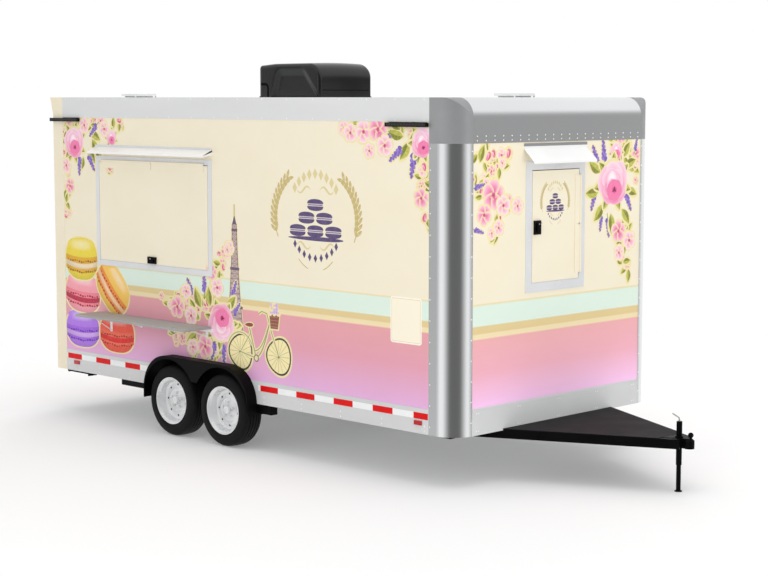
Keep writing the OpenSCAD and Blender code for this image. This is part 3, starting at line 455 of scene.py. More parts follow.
def repeatTree(kind, along):  # one small shape on each point, or at a spacing along each line
    tree = bpy.data.node_groups.new(kind + ("Along" if along else "Points"), "GeometryNodeTree")
    face = tree.interface
    face.new_socket("Geometry", in_out="INPUT", socket_type="NodeSocketGeometry")
    for title, form in (("Spacing", "Float"), ("Size", "Vector"), ("Facing", "Vector"), ("Across", "Vector"),
                        ("Centre", "Vector"), ("Radial", "Float"), ("Finish", "Material")):
        face.new_socket(title, in_out="INPUT", socket_type="NodeSocket" + form)
    face.new_socket("Geometry", in_out="OUTPUT", socket_type="NodeSocketGeometry")
    given = tree.nodes.new("NodeGroupInput").outputs
    points = given["Geometry"]
    if along:
        line = put(tree, "GeometryNodeMeshToCurve", {"Mesh": points}).outputs["Curve"]
        steps = {"Curve": line, "Length": given["Spacing"]}
        points = put(tree, "GeometryNodeResampleCurve", steps, mode="LENGTH").outputs["Curve"]

    def solid(form, values):
        return put(tree, "GeometryNodeMesh" + form, values).outputs["Mesh"]

    if kind == "dome":
        shape = solid("UVSphere", {"Segments": 8, "Rings": 5, "Radius": 0.5})
    elif kind == "disc":
        shape = solid("Cylinder", {"Vertices": 16, "Radius": 0.5, "Depth": 1.0})
    elif kind == "nut":
        hexagon = solid("Cylinder", {"Vertices": 6, "Radius": 0.5, "Depth": 1.0})
        crown = solid("UVSphere", {"Segments": 12, "Rings": 6, "Radius": 0.42})
        crown = put(tree, "GeometryNodeTransform", {"Geometry": crown, "Translation": (0, 0, 0.5)})
        joined = put(tree, "GeometryNodeJoinGeometry")
        tree.links.new(hexagon, joined.inputs[0])
        tree.links.new(crown.outputs["Geometry"], joined.inputs[0])
        shape = joined.outputs[0]
    else:
        shape = solid("Cube", {"Size": (1, 1, 1)})

    def vectorMath(operation, values):
        return put(tree, "ShaderNodeVectorMath", values, operation=operation).outputs[0]

    spot = put(tree, "GeometryNodeInputPosition").outputs[0]
    away = vectorMath("SUBTRACT", {0: spot, 1: given["Centre"]})
    away = vectorMath("SCALE", {0: away, "Scale": given["Radial"]})
    facing = vectorMath("ADD", {0: given["Facing"], 1: away})
    turn = put(tree, "FunctionNodeAlignRotationToVector", {"Vector": facing}, axis="Z").outputs[0]
    sideways = {"Rotation": turn, "Vector": given["Across"]}
    turn = put(tree, "FunctionNodeAlignRotationToVector", sideways, axis="X", pivot_axis="Z").outputs[0]
    placing = {"Points": points, "Instance": shape, "Rotation": turn, "Scale": given["Size"]}
    placed = put(tree, "GeometryNodeInstanceOnPoints", placing).outputs[0]
    real = put(tree, "GeometryNodeRealizeInstances", {"Geometry": placed}).outputs[0]
    painted = put(tree, "GeometryNodeSetMaterial", {"Geometry": real, "Material": given["Finish"]}).outputs[0]
    out = tree.nodes.new("NodeGroupOutput")
    tree.links.new(painted, out.inputs[0])
    return tree


kinds = ("dome", "disc", "nut", "block")
trees = {(kind, along): repeatTree(kind, along) for kind in kinds for along in (True, False)}


def repeatPart(name, kind, finish, body, size, lines=(), points=(), **values):
    verts, edges = [tuple(p) for p in points], []
    for line in lines:
        start = len(verts)
        verts += [tuple(p) for p in line]
        edges += [(start + i, start + i + 1) for i in range(len(line) - 1)]
    data = bpy.data.meshes.new(name + "Path")
    data.from_pydata(verts, edges, [])
    carrier = bpy.data.objects.new(name + "Path", data)
    scene.collection.objects.link(carrier)
    modifier = carrier.modifiers.new("repeat", "NODES")
    modifier.node_group = trees[(kind, bool(lines))]
    inputs = {"Spacing": 0.1, "Facing": (0, 0, 0), "Across": (1, 0, 0), "Centre": (0, 0, 0), "Radial": 0.0}
    inputs.update({key.capitalize(): value for key, value in values.items()})
    inputs.update(Size=size, Finish=finishBy[finish])
    for item in modifier.node_group.interface.items_tree:
        if item.in_out == "INPUT" and item.name in inputs:
            modifier[item.identifier] = inputs[item.name]
    evaluated = carrier.evaluated_get(bpy.context.evaluated_depsgraph_get())
    result = bpy.data.meshes.new_from_object(evaluated)
    bpy.data.objects.remove(carrier)
    result.name = name
    result.shade_smooth()
    result.set_sharp_from_angle(angle=math.radians(50))
    piece = bpy.data.objects.new(name, result)
    scene.collection.objects.link(piece)
    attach(piece, body)
    return piece


def ringOf(centre, radius, count, start=0.0):  # points of a circle about the Y axis
    turns = [start + math.tau * i / count for i in range(count)]
    return [(centre[0] + radius * math.cos(a), centre[1], centre[2] + radius * math.sin(a)) for a in turns]


# printed artwork: every shape is a patch with its own inks, drawn in order, then cut into one flat sheet
def patch(sheet, loop, hub, core, middle=None, rim=None):
    area = sum(a[0] * b[1] - b[0] * a[1] for a, b in zip(loop, loop[1:] + loop[:1]))
    if area < 0:
        loop = loop[::-1]
    codes = (core, middle or core, rim or middle or core)
    inks = [tone(code) if isinstance(code, str) else code for code in codes]
    sheet.append({"loop": loop, "hub": hub, "inks": inks, "plain": middle is None})


def polar(hub, turn, reach, reachV=None):  # a point at an angle round a hub
    reachV = reach if reachV is None else reachV
    return (hub[0] + reach * math.cos(turn), hub[1] + reachV * math.sin(turn))


def between(first, second, share):
    return [p + (q - p) * share for p, q in zip(first, second)]


def boxLoop(lowU, lowV, highU, highV):
    return [(lowU, lowV), (highU, lowV), (highU, highV), (lowU, highV)]


def turnedBy(points, hub, turn):
    c, s = math.cos(turn), math.sin(turn)
    return [(hub[0] + x * c - y * s, hub[1] + x * s + y * c) for x, y in points]


def oval(hub, length, width, turn=0.0, steps=14, notch=0.0, point=0.0):
    points = []
    for i in range(steps):
        a = math.tau * i / steps
        near = abs((a + math.pi) % math.tau - math.pi)
        x = math.cos(a) * length / 2 - notch * length * max(0, 1 - near / 0.7)
        y = math.sin(a) * width / 2 * (1 + 0.2 * math.cos(a)) * (1 - point * abs(math.cos(a)) ** 3)
        points.append((x, y))
    return turnedBy(points, hub, turn)


def stroke(sheet, path, width, ink, taper=False):
    left, right = [], []
    for i, (u, v) in enumerate(path):
        a, b = path[max(i - 1, 0)], path[min(i + 1, len(path) - 1)]
        du, dv = b[0] - a[0], b[1] - a[1]
        far = math.hypot(du, dv) or 1
        w = width / 2 * (math.sin(math.pi * (i + 0.4) / (len(path) - 0.2)) if taper else 1)
        left.append((u - dv / far * w, v + du / far * w))
        right.append((u + dv / far * w, v - du / far * w))
    patch(sheet, left + right[::-1], path[0], ink)


def arcPath(hub, radiusU, radiusV, first, last, steps):
    turns = [math.radians(first + (last - first) * i / steps) for i in range(steps + 1)]
    return [polar(hub, a, radiusU, radiusV) for a in turns]


art = {
    "cutLine": "ecdfa6", "cutMargin": 0.011, "leafScale": 0.8,
    "blossom": (("e88cab", "f6b8cc", "fce2ea"), ("d65a88", "ee8fb2", "f9c9d8")),
    "bud": ("9c2340", "cc4566", "e88ba0"),
    "rosePetal": (("ea86ac", "b81558"), ("f7bdd3", "dc4485"), ("fce3ed", "f18fb6")),
    "roseCup": ("fef4f8", "fce2ec", "f3b0ca"), "roseHeart": ("a80d50", "cf2a74", "f07cab"),
    "leaf": (("cbcb66", "b0b044", "c2c25a"), ("8e8f30", "777826", "989a3c")),
    "lavender": (("7454b0", "9070c6"), ("8f74ca", "b29ade")),
}


def petal(sheet, root, turn, length, width, inks, notch=0.06, margin=0.0):
    middle = polar(root, turn, length / 2)
    if margin:
        patch(sheet, oval(middle, length + 2 * margin, width + 2 * margin, turn), middle, art["cutLine"])
    patch(sheet, oval(middle, length, width, turn, 12, notch), polar(root, turn, length * 0.16), *inks)


def leaf(sheet, root, turn, length, dark=False, margin=None):
    margin = art["cutMargin"] if margin is None else margin
    length *= art["leafScale"]
    width, steps = length * 0.48, 6
    rib = [(length * i / steps, 0.05 * length * math.sin(math.pi * i / steps)) for i in range(steps + 1)]
    bulge = [width / 2 * math.sin(math.pi * (x / length) ** 0.85) for x, _ in rib]
    edges = [[(x, y + side * w) for (x, y), w in zip(rib, bulge)] for side in (1, -1)]
    if margin:
        whole = polar(root, turn, length / 2)
        halo = oval(whole, length + 2.6 * margin, width + 2 * margin, turn, 12, 0, 0.3)
        patch(sheet, halo, whole, art["cutLine"])
    for edge, inks in zip(edges, art["leaf"] if dark else art["leaf"][::-1]):
        loop = turnedBy(rib + edge[::-1][1:-1], root, turn)
        hub = (sum(p[0] for p in loop) / len(loop), sum(p[1] for p in loop) / len(loop))
        patch(sheet, loop, hub, *inks)


def within(loop, u, v):
    crossings = 0
    for (au, av), (bu, bv) in zip(loop, loop[1:] + loop[:1]):
        if (av > v) != (bv > v) and u < au + (v - av) * (bu - au) / (bv - av):
            crossings += 1
    return crossings % 2 == 1


def blendInk(first, second, share):
    return between(tone(first), tone(second), share)


def rose(sheet, hub, size, turn=0.0, lift=-1):  # lift: the dark core sits above or below the middle
    for k in range(7):
        a = turn + k * 0.9
        leaf(sheet, polar(hub, a, 0.55 * size), a + 0.2, size * 0.8, k % 2 == 0)
    core = (hub[0] + 0.10 * size, hub[1] + lift * 0.30 * size)
    patch(sheet, oval(hub, size * 1.80, size * 1.80, turn, 18), hub, art["cutLine"])
    for k in range(22):  # petals spiral in from pale outer ones to deep ones round the core
        t = k / 21
        a = turn + k * 2.399
        warm = min(1.0, 0.10 + (0.5 + 0.5 * lift * math.sin(a)) * (0.45 + 0.75 * t))
        away, wide = size * 0.50 * (1 - t) ** 0.75, size * (1.10 - 0.84 * t)
        spot = polar(between(hub, core, t ** 0.8), a, away)
        inward = between(spot, core, 0.4 * (1 - 0.6 * t))
        loop = oval(spot, wide * 1.12, wide * 0.86, a + 1.57, 14, 0.02)
        if not within(loop, *inward):
            inward = spot
        patch(sheet, loop, inward, *[blendInk(pale, deep, warm) for pale, deep in art["rosePetal"]])
        if k == 11:
            cup = (core[0] - 0.15 * size, core[1] - lift * 0.42 * size)
            cupHub = (cup[0], cup[1] - lift * 0.12 * size)
            patch(sheet, oval(cup, size * 0.74, size * 0.78, 0.35, 14), cupHub, *art["roseCup"])
    for k in range(6):
        a = turn + 1.047 * k
        spot = polar(core, a, 0.27 * size, 0.22 * size)
        patch(sheet, oval(spot, size * 0.60, size * 0.40, a + 1.57, 12), core, *art["roseHeart"])
    patch(sheet, oval(core, size * 0.32, size * 0.26, 0.5, 10), core, "741039", "9c1a50", "cf3a7c")
    for k in range(3):
        a = turn + 2.1 * k
        spot = polar(core, a, 0.13 * size, 0.11 * size)
        patch(sheet, oval(spot, size * 0.20, size * 0.09, a + 1.57, 8), spot, "c22a6c", "e25c96", "f190b8")


def blossom(sheet, hub, size, turn=0.0, deep=False):
    for k in range(5):
        a = turn + math.tau * k / 5
        petal(sheet, hub, a, size, size * 0.84, art["blossom"][deep], 0.1, art["cutMargin"] * 0.8)
    patch(sheet, oval(hub, size * 0.36, size * 0.36, 0, 10), hub, "b03163", "c9527e", "dd7d9f")
    for k in range(6):
        dot = polar(hub, turn + 0.3 + math.tau * k / 6, size * 0.26)
        patch(sheet, oval(dot, size * 0.1, size * 0.1, 0, 6), dot, "ecd582")


def bud(sheet, hub, size, turn):
    leaf(sheet, hub, turn + 0.7, size * 0.6, True)
    leaf(sheet, hub, turn - 0.7, size * 0.6)
    petal(sheet, hub, turn, size, size * 0.6, art["bud"], margin=art["cutMargin"] * 0.7)
    petal(sheet, hub, turn + 0.25, size * 0.8, size * 0.36, art["blossom"][1])


def lavender(sheet, hub, length, turn):
    spine = polar(hub, turn, length * 0.5)
    patch(sheet, oval(spine, length * 1.2, length * 0.42, turn, 12), spine, art["cutLine"])
    stroke(sheet, [polar(hub, turn, -0.35 * length), hub, polar(hub, turn, length)], 0.007, "8f9a48")
    for k in range(15):
        lean = (-1, 1, 0)[k % 3]
        along, side = length * (0.04 + 0.065 * k), lean * length * 0.11 * (1 - 0.045 * k)
        dot = turnedBy([(along, side)], hub, turn)[0]
        deep, pale = art["lavender"][k % 2]
        wide = length * (1.15 - 0.03 * k)
        patch(sheet, oval(dot, wide * 0.25, wide * 0.17, turn + 0.6 * lean, 8), dot, pale, deep, deep)


def spray(sheet, path, seed, count, reach, scale=1.0):  # small flowers, buds and leaves along a line
    pick = random.Random(seed)
    for k in range(count):
        where = pick.random() * (len(path) - 1)
        i = min(int(where), len(path) - 2)
        hub = [p + pick.uniform(-reach, reach) for p in between(path[i], path[i + 1], where - i)]
        turn, size = pick.uniform(0, math.tau), scale * pick.uniform(0.8, 1.2)
        if k % 6 in (0, 3, 4):
            leaf(sheet, hub, turn, 0.115 * size, k % 6 == 3)
        elif k % 6 == 2:
            bud(sheet, hub, 0.062 * size, turn)
        else:
            blossom(sheet, hub, (0.052 if k % 6 == 1 else 0.038) * size, turn, k % 4 == 1)


def shade(code, share):
    return [min(1.0, v * share) for v in tone(code)[:3]] + [1.0]


def bulged(value, power):
    return math.copysign(abs(value) ** power, value)


def macaron(sheet, hub, width, height, turn, shell, foot, cream, dots):
    # two shells, ruffled feet and a filling
    def lay(points):
        return turnedBy([(x * width / 2, y * height / 2) for x, y in points], hub, turn)

    def layer(loop, core, code, shares):
        patch(sheet, lay(loop), lay([core])[0], *[shade(code, share) for share in shares])

    def rim(grow, steps=32):
        turns = [math.tau * i / steps for i in range(steps)]
        return [(grow * bulged(math.cos(a), 0.74), grow * bulged(math.sin(a), 0.9)) for a in turns]

    def sag(x, level, depth):
        return level - depth * (1 - x * x)

    def band(top, topSag, low, lowSag, ruffle=0.0):
        upper, lower = [], []
        for i in range(21):
            x, wave = -0.985 + 1.97 * i / 20, ruffle if i % 2 else 0
            upper.append((x, sag(x, top, topSag) + wave))
            lower.append((x, sag(x, low, lowSag) - wave))
        return upper + lower[::-1]

    patch(sheet, lay(rim(1.07)), hub, art["cutLine"])
    layer(rim(1.0), (0, -0.45), shell, (0.96, 0.92, 0.78))
    layer(band(0.20, 0.12, -0.10, 0.17, 0.02), (0, -0.05), foot, (1.0, 1.0, 0.86))
    layer(band(-0.28, 0.20, -0.46, 0.22, 0.02), (0, -0.52), foot, (1.04, 1.0, 0.84))
    layer(band(-0.07, 0.17, -0.29, 0.20), (0.3, -0.3), cream, (1.02, 0.97, 0.76))
    for k in range(13):
        x = -0.84 + 0.14 * k
        for level, depth in ((-0.01, 0.13), (-0.43, 0.21)):
            dot = lay([(x, sag(x, level, depth) + 0.03 * math.sin(5 * k))])[0]
            size = 0.035 + 0.03 * abs(math.sin(2.3 * k + level))
            patch(sheet, oval(dot, width * size, height * size * 0.9, turn, 7), dot, dots)
    dome = [p for p in rim(1.0, 44) if p[1] >= 0.17]
    across = [-0.985 + 1.97 * i / 12 for i in range(13)]
    layer(dome + [(x, sag(x, 0.19, 0.13)) for x in across], (0.02, 0.48), shell, (1.0, 1.0, 0.96))
    shine = lay([(-0.02, 0.66)])[0]
    glow = turnedBy([(x * width * 0.43, y * height * 0.155) for x, y in rim(1.0, 24)], shine, turn)
    inks = (blendInk(shell, "ffffff", 0.42), blendInk(shell, "ffffff", 0.24), shade(shell, 1.0))
    patch(sheet, glow, shine, *inks)


def badge(sheet, hub, half, tall):  # laurels round a stack of small cakes, with no lettering
    gold, goldDeep, plum, plumPale = "dccd97", "c5b273", "564672", "8a7aa8"
    for side in (-1, 1):
        stem = arcPath(hub, side * half * 0.93, tall * 0.93, -24, 46, 11)
        stroke(sheet, stem, half * 0.018, goldDeep)
        for before, (u, v) in zip(stem, stem[1:]):
            lean = math.atan2(v - before[1], u - before[0])
            for turn in (lean + 0.5, lean - 0.5):
                tip = polar((u, v), turn, half * 0.08)
                blade = oval(tip, half * 0.17, half * 0.055, turn, 10, 0, 0.5)
                patch(sheet, blade, tip, gold, goldDeep, goldDeep)
        for level, flip in ((0.50, 1), (-0.50, -1)):
            curl = []
            for i in range(13):
                rise = level + flip * 0.06 * math.sin(math.tau * i / 12)
                curl.append((hub[0] + side * half * (0.10 + 0.32 * i / 12), hub[1] + tall * rise))
            stroke(sheet, curl, half * 0.035, gold, True)
        stroke(sheet, arcPath(hub, side * half * 0.62, tall * 0.95, -74, -52, 8), half * 0.014, goldDeep)
    for k in range(9):
        a = math.radians(138 - 12 * k)
        for reachV, ink, size in ((0.79, gold, 0.085), (-0.72, plum, 0.065)):
            dot, w = polar(hub, a, half * 0.62, tall * reachV), half * size
            corners = ((0.6, 0), (0, 1), (-0.6, 0), (0, -1))
            patch(sheet, [(dot[0] + w * du, dot[1] + w * dv) for du, dv in corners], dot, ink)
    stand = (hub[0], hub[1] - tall * 0.37)
    patch(sheet, oval(stand, half * 1.25, tall * 0.075, 0, 20), stand, plum)
    for row, count in enumerate((3, 2, 1)):
        for k in range(count):
            u, v = hub[0] + (k - (count - 1) / 2) * half * 0.40, hub[1] - tall * 0.235 + row * tall * 0.235
            for flip in (-1, 1):
                shell = []
                for i in range(13):
                    a = math.pi * i / 12
                    rise = flip * tall * (0.022 + 0.085 * math.sin(a) ** 0.7)
                    shell.append((u + half * 0.18 * math.cos(a), v + rise))
                patch(sheet, shell, (u, v + flip * tall * 0.06), plum)
            wide, thick = half * 0.165, tall * 0.012
            patch(sheet, boxLoop(u - wide, v - thick, u + wide, v + thick), (u, v), plumPale)


def spire(sheet, foot, height, width):  # plain lattice mast
    dark, pale, fill = "66556b", "8b7480", "c3aca2"

    def reach(t):
        return width / 2 * (0.24 + 0.76 * (1 - t) ** 2.0) if t < 0.85 else 0.003

    levels = [i / 26 for i in range(23)] + [0.855, 1.0]
    right = [(foot[0] + reach(t), foot[1] + height * t) for t in levels]
    left = [(2 * foot[0] - u, v) for u, v in right]
    margin = art["cutMargin"]
    halo = [(u + margin, v) for u, v in right] + [(u - margin, v) for u, v in left[::-1]]
    patch(sheet, halo, foot, art["cutLine"])
    patch(sheet, right + left[::-1], foot, fill)
    for a, b, c, d in zip(right, right[1:], left, left[1:-2]):
        for start, end in ((a, d), (c, b), (d, b)):
            stroke(sheet, [start, end], 0.0036, pale if start is not d else dark)
    for side in (right[:-1], left[:-1]):
        stroke(sheet, side, 0.007, dark)
    for t in (0.20, 0.50, 0.80):
        w = reach(t) * 1.3
        stroke(sheet, [(foot[0] - w, foot[1] + height * t), (foot[0] + w, foot[1] + height * t)], 0.022, dark)
    cap = [(foot[0] - 0.026, foot[1] + 0.845 * height), (foot[0] + 0.026, foot[1] + 0.845 * height),
           (foot[0] + 0.004, foot[1] + 0.91 * height), (foot[0] - 0.004, foot[1] + 0.91 * height)]
    patch(sheet, cap, foot, dark)
    stroke(sheet, [(foot[0], foot[1] + 0.9 * height), (foot[0], foot[1] + height)], 0.006, pale)


def bicycle(sheet, rearHub, wheelbase, radius):
    frontHub = (rearHub[0] + wheelbase, rearHub[1] + 0.004)
    crank = (rearHub[0] + wheelbase * 0.42, rearHub[1] - 0.035)
    seat = (rearHub[0] + wheelbase * 0.24, rearHub[1] + 0.215)
    head = (rearHub[0] + wheelbase * 0.77, rearHub[1] + 0.255)
    bar = (head[0] - 0.03, head[1] + 0.08)
    low = []
    for i in range(9):
        u, v = between(crank, head, i / 8)
        low.append((u, v - 0.06 * math.sin(math.pi * i / 8)))
    upper = [(u - 0.02 * (1 - k / 8), v + 0.055 * (1 - k / 8)) for k, (u, v) in enumerate(low)]
    seatStay = [rearHub, (seat[0] + 0.02, seat[1] - 0.05)]
    fork = [head, (head[0] + 0.03, head[1] - 0.08), (frontHub[0] - 0.01, frontHub[1] + 0.03), frontHub]
    handle = [head, bar, (bar[0] - 0.06, bar[1] + 0.012), (bar[0] - 0.095, bar[1] - 0.008)]
    guard = arcPath(rearHub, radius * 1.07, radius * 1.07, 25, 160, 12)
    tubes = ((low, 0.013), (upper, 0.010), ([crank, seat], 0.012), ([rearHub, crank], 0.008),
             (seatStay, 0.007), (fork, 0.010), (handle, 0.010), (guard, 0.008))
    for hub in (rearHub, frontHub):
        for grow, ink in ((1.11, art["cutLine"]), (1.0, "2f2a22"), (0.90, "f3e5ad")):
            patch(sheet, oval(hub, 2 * radius * grow, 2 * radius * grow, 0, 30), hub, ink)
        for k in range(16):
            stroke(sheet, [hub, polar(hub, math.tau * k / 16, radius * 0.93)], 0.0028, "8f9066")
        patch(sheet, oval(hub, 0.026, 0.026, 0, 8), hub, "6c6a4e")
    for width, ink in ((0.022, art["cutLine"]), (0.0, "b9b88a"), (-0.004, "7f8a5c")):
        for path, size in tubes:
            stroke(sheet, path, (size + width) if width >= 0 else size * 0.4, ink)
    patch(sheet, oval(crank, 0.06, 0.06, 0, 14), crank, "6b6b52")
    patch(sheet, oval(crank, 0.042, 0.042, 0, 12), crank, "e5d9ae")
    patch(sheet, oval((seat[0], seat[1] + 0.012), 0.12, 0.05, 0.05), seat, art["cutLine"])
    patch(sheet, oval((seat[0], seat[1] + 0.012), 0.10, 0.032, 0.05), seat, "8c4c3a")
    for grow, ink in ((0.012, art["cutLine"]), (0.0, "8a4f3e")):
        corners = ((0.0, 0.08, -1, 1), (0.015, -0.035, -1, -1), (0.1, -0.035, 1, -1), (0.12, 0.08, 1, 1))
        basket = [(head[0] + u + grow * du, head[1] + v + grow * dv) for u, v, du, dv in corners]
        patch(sheet, basket, head, ink)
    for k in range(4):
        v = head[1] - 0.02 + 0.026 * k
        stroke(sheet, [(head[0] + 0.012, v), (head[0] + 0.108, v)], 0.004, "c08a6e")
    for k in range(5):
        blossom(sheet, (head[0] + 0.01 + 0.025 * k, head[1] + 0.095 + 0.018 * (k % 2)), 0.022, k)
    for k in range(9):
        ball = (head[0] + 0.03 + 0.028 * (k % 3), head[1] + 0.10 + 0.026 * (k // 3))
        if k % 4 == 3:
            blossom(sheet, ball, 0.022, k)
        else:
            patch(sheet, oval(ball, 0.042, 0.034, k), ball, "b79bd0", "cbb2dd", "dccae8")


drawers = {"leaf": leaf, "blossom": blossom, "bud": bud, "lavender": lavender, "rose": rose, "spray": spray,
           "macaron": macaron, "badge": badge, "spire": spire, "bicycle": bicycle}

# places along the wall from the front corner and up from the skirt's lower edge
sidePicture = (
    ("spray", ((-4.70, 2.17), (-4.40, 2.21), (-4.05, 2.23), (-3.88, 2.20)), 4, 34, 0.05),
    ("spray", ((-4.70, 1.95), (-4.66, 1.80), (-4.68, 1.60), (-4.72, 1.38)), 9, 20, 0.035),
    ("leaf", (-4.33, 2.13), -0.4, 0.19), ("leaf", (-4.30, 2.08), -1.2, 0.2, True),
    ("leaf", (-4.36, 1.98), -0.9, 0.18), ("leaf", (-4.22, 2.02), -1.6, 0.2, True),
    ("leaf", (-4.44, 1.92), -1.9, 0.15), ("lavender", (-4.24, 2.20), 0.14, -2.4),
    ("lavender", (-4.50, 1.92), 0.16, -1.6), ("lavender", (-4.36, 1.93), 0.15, -1.0),
    ("rose", (-4.03, 2.10), 0.075, 0.4), ("blossom", (-4.13, 2.17), 0.07, 1.1),
    ("blossom", (-4.42, 2.20), 0.075, 0.2), ("blossom", (-4.65, 1.66), 0.07, 0.8, True),
    ("blossom", (-4.70, 1.84), 0.075, 0.1), ("rose", (-4.58, 2.05), 0.155, 0.3),
    ("spray", ((-4.14, 1.90), (-4.05, 1.86), (-4.06, 1.79)), 21, 9, 0.03, 0.8),
    ("spray", ((-1.10, 2.20), (-0.86, 2.21), (-0.62, 2.20), (-0.36, 2.21)), 12, 34, 0.05),
    ("spray", ((-0.30, 2.00), (-0.31, 1.85), (-0.30, 1.66), (-0.28, 1.52)), 14, 22, 0.03),
    ("leaf", (-0.52, 2.16), 2.9, 0.2), ("leaf", (-0.46, 2.12), -2.2, 0.2, True),
    ("leaf", (-0.55, 2.21), 2.4, 0.19), ("leaf", (-0.40, 2.12), -1.4, 0.19),
    ("lavender", (-0.54, 2.07), 0.15, -2.5), ("lavender", (-0.41, 2.03), 0.17, -1.75),
    ("lavender", (-0.66, 2.17), 0.12, -1.9), ("blossom", (-1.07, 2.18), 0.075, 0.3),
    ("blossom", (-0.93, 2.19), 0.09, 0.9), ("blossom", (-0.78, 2.21), 0.1, 0.1, True),
    ("blossom", (-0.71, 2.09), 0.085, 1.5), ("blossom", (-0.87, 2.05), 0.06, 0.6),
    ("blossom", (-0.34, 1.72), 0.075, 0.2, True), ("rose", (-0.33, 2.12), 0.12, 1.3),
    ("macaron", (-4.495, 0.395), 0.49, 0.335, 0.02, "b078e6", "a060dc", "d0a8ee", "5a14b0"),
    ("macaron", (-3.992, 0.395), 0.49, 0.335, 0.0, "f2563c", "f06a50", "e6180f", "a01808"),
    ("macaron", (-4.485, 0.712), 0.51, 0.345, -0.05, "f4a0ac", "f08090", "c02048", "98122e"),
    ("macaron", (-4.495, 1.018), 0.47, 0.375, 0.0, "ead43a", "e0ac22", "f0dcb8", "9c5f10"),
    ("macaron", (-4.045, 0.785), 0.50, 0.36, -0.78, "f4c454", "f08c30", "fbd0a8", "a83c0c"),
    ("spire", (-2.408, 0.55), 1.04, 0.20),
    ("spray", ((-2.66, 0.98), (-2.57, 1.12), (-2.49, 1.26)), 31, 20, 0.035),
    ("spray", ((-3.30, 0.72), (-3.10, 0.78), (-2.92, 0.72), (-2.80, 0.82)), 33, 34, 0.07),
    ("spray", ((-3.24, 0.47), (-3.00, 0.42), (-2.80, 0.38), (-2.62, 0.38)), 35, 34, 0.06),
    ("lavender", (-2.94, 0.82), 0.15, 2.1), ("lavender", (-2.79, 0.85), 0.16, 1.6),
    ("lavender", (-2.56, 0.44), 0.16, -1.5), ("lavender", (-2.66, 0.44), 0.15, -1.9),
    ("lavender", (-2.44, 0.84), 0.14, 1.2), ("lavender", (-2.42, 0.70), 0.12, 0.9),
    ("leaf", (-2.86, 0.62), 2.6, 0.2, True), ("leaf", (-2.84, 0.72), 2.0, 0.22),
    ("leaf", (-2.72, 0.74), 1.7, 0.2, True), ("leaf", (-2.90, 0.50), -2.6, 0.19),
    ("leaf", (-2.50, 0.72), 0.9, 0.2, True), ("leaf", (-2.46, 0.60), 0.1, 0.17),
    ("leaf", (-2.76, 0.44), -1.9, 0.18, True), ("blossom", (-3.15, 0.70), 0.095, 0.2, True),
    ("blossom", (-3.03, 0.84), 0.065, 0.9), ("blossom", (-2.97, 0.64), 0.08, 0.4),
    ("blossom", (-2.79, 0.40), 0.1, 0.7, True), ("blossom", (-2.70, 1.02), 0.07, 0.1, True),
    ("blossom", (-2.63, 0.90), 0.08, 1.2), ("blossom", (-2.95, 0.38), 0.07, 1.1),
    ("blossom", (-2.50, 1.22), 0.045, 0.3), ("rose", (-2.585, 0.60), 0.18, 0.9, 1),
    ("bicycle", (-2.346, 0.404), 0.459, 0.148), ("badge", (-1.456, 1.523), 0.50, 0.43),
)
frontPicture = (
    ("spray", ((-0.96, 2.04), (-0.85, 2.00), (-0.72, 1.94), (-0.62, 2.02)), 51, 26, 0.05),
    ("spray", ((-0.93, 1.85), (-0.86, 1.80), (-0.74, 1.64), (-0.56, 1.66)), 52, 24, 0.05),
    ("spray", ((-0.72, 1.54), (-0.78, 1.46)), 53, 8, 0.03), ("lavender", (-0.97, 1.80), 0.11, 0.2),
    ("lavender", (-0.97, 1.50), 0.1, -0.3), ("leaf", (-0.92, 1.98), 1.2, 0.17, True),
    ("blossom", (-0.77, 1.74), 0.12, 0.2, True), ("blossom", (-0.87, 1.60), 0.08, 0.9, True),
    ("blossom", (-0.50, 1.65), 0.065, 0.1), ("blossom", (-0.71, 1.50), 0.06, 0.5),
    ("blossom", (-0.66, 1.66), 0.08, 1.4), ("bud", (-0.85, 1.99), 0.08, 0.9),
    ("bud", (-0.62, 2.00), 0.08, 1.2),
    ("spray", ((0.62, 2.12), (0.74, 2.06), (0.90, 1.97), (0.93, 1.82)), 61, 30, 0.06),
    ("spray", ((0.70, 1.42), (0.84, 1.36), (0.76, 1.24), (0.84, 1.08)), 63, 28, 0.035),
    ("lavender", (0.45, 1.93), 0.16, 2.0), ("lavender", (0.53, 1.96), 0.16, 1.7),
    ("lavender", (0.42, 1.72), 0.15, -1.9), ("lavender", (0.81, 1.69), 0.15, -1.1),
    ("lavender", (0.50, 1.53), 0.12, -1.7), ("lavender", (0.58, 1.50), 0.14, -1.45),
    ("lavender", (0.92, 2.03), 0.1, 1.3), ("leaf", (0.48, 1.87), 2.6, 0.2),
    ("leaf", (0.46, 1.72), 3.2, 0.2, True), ("leaf", (0.52, 1.62), -2.3, 0.21),
    ("leaf", (0.62, 1.54), -1.5, 0.2, True), ("leaf", (0.80, 1.9), 0.4, 0.18),
    ("leaf", (0.82, 1.72), -0.3, 0.17, True), ("leaf", (0.78, 1.98), 1.0, 0.17),
    ("leaf", (0.76, 1.57), -0.9, 0.19), ("blossom", (0.72, 1.40), 0.09, 0.3, True),
    ("blossom", (0.86, 1.32), 0.08, 0.8), ("blossom", (0.73, 1.23), 0.065, 0.2),
    ("rose", (0.68, 2.03), 0.08, 0.6), ("blossom", (0.74, 2.15), 0.07, 0.6, True),
    ("rose", (0.64, 1.785), 0.2, 0.5), ("badge", (-0.072, 1.665), 0.175, 0.185),
)


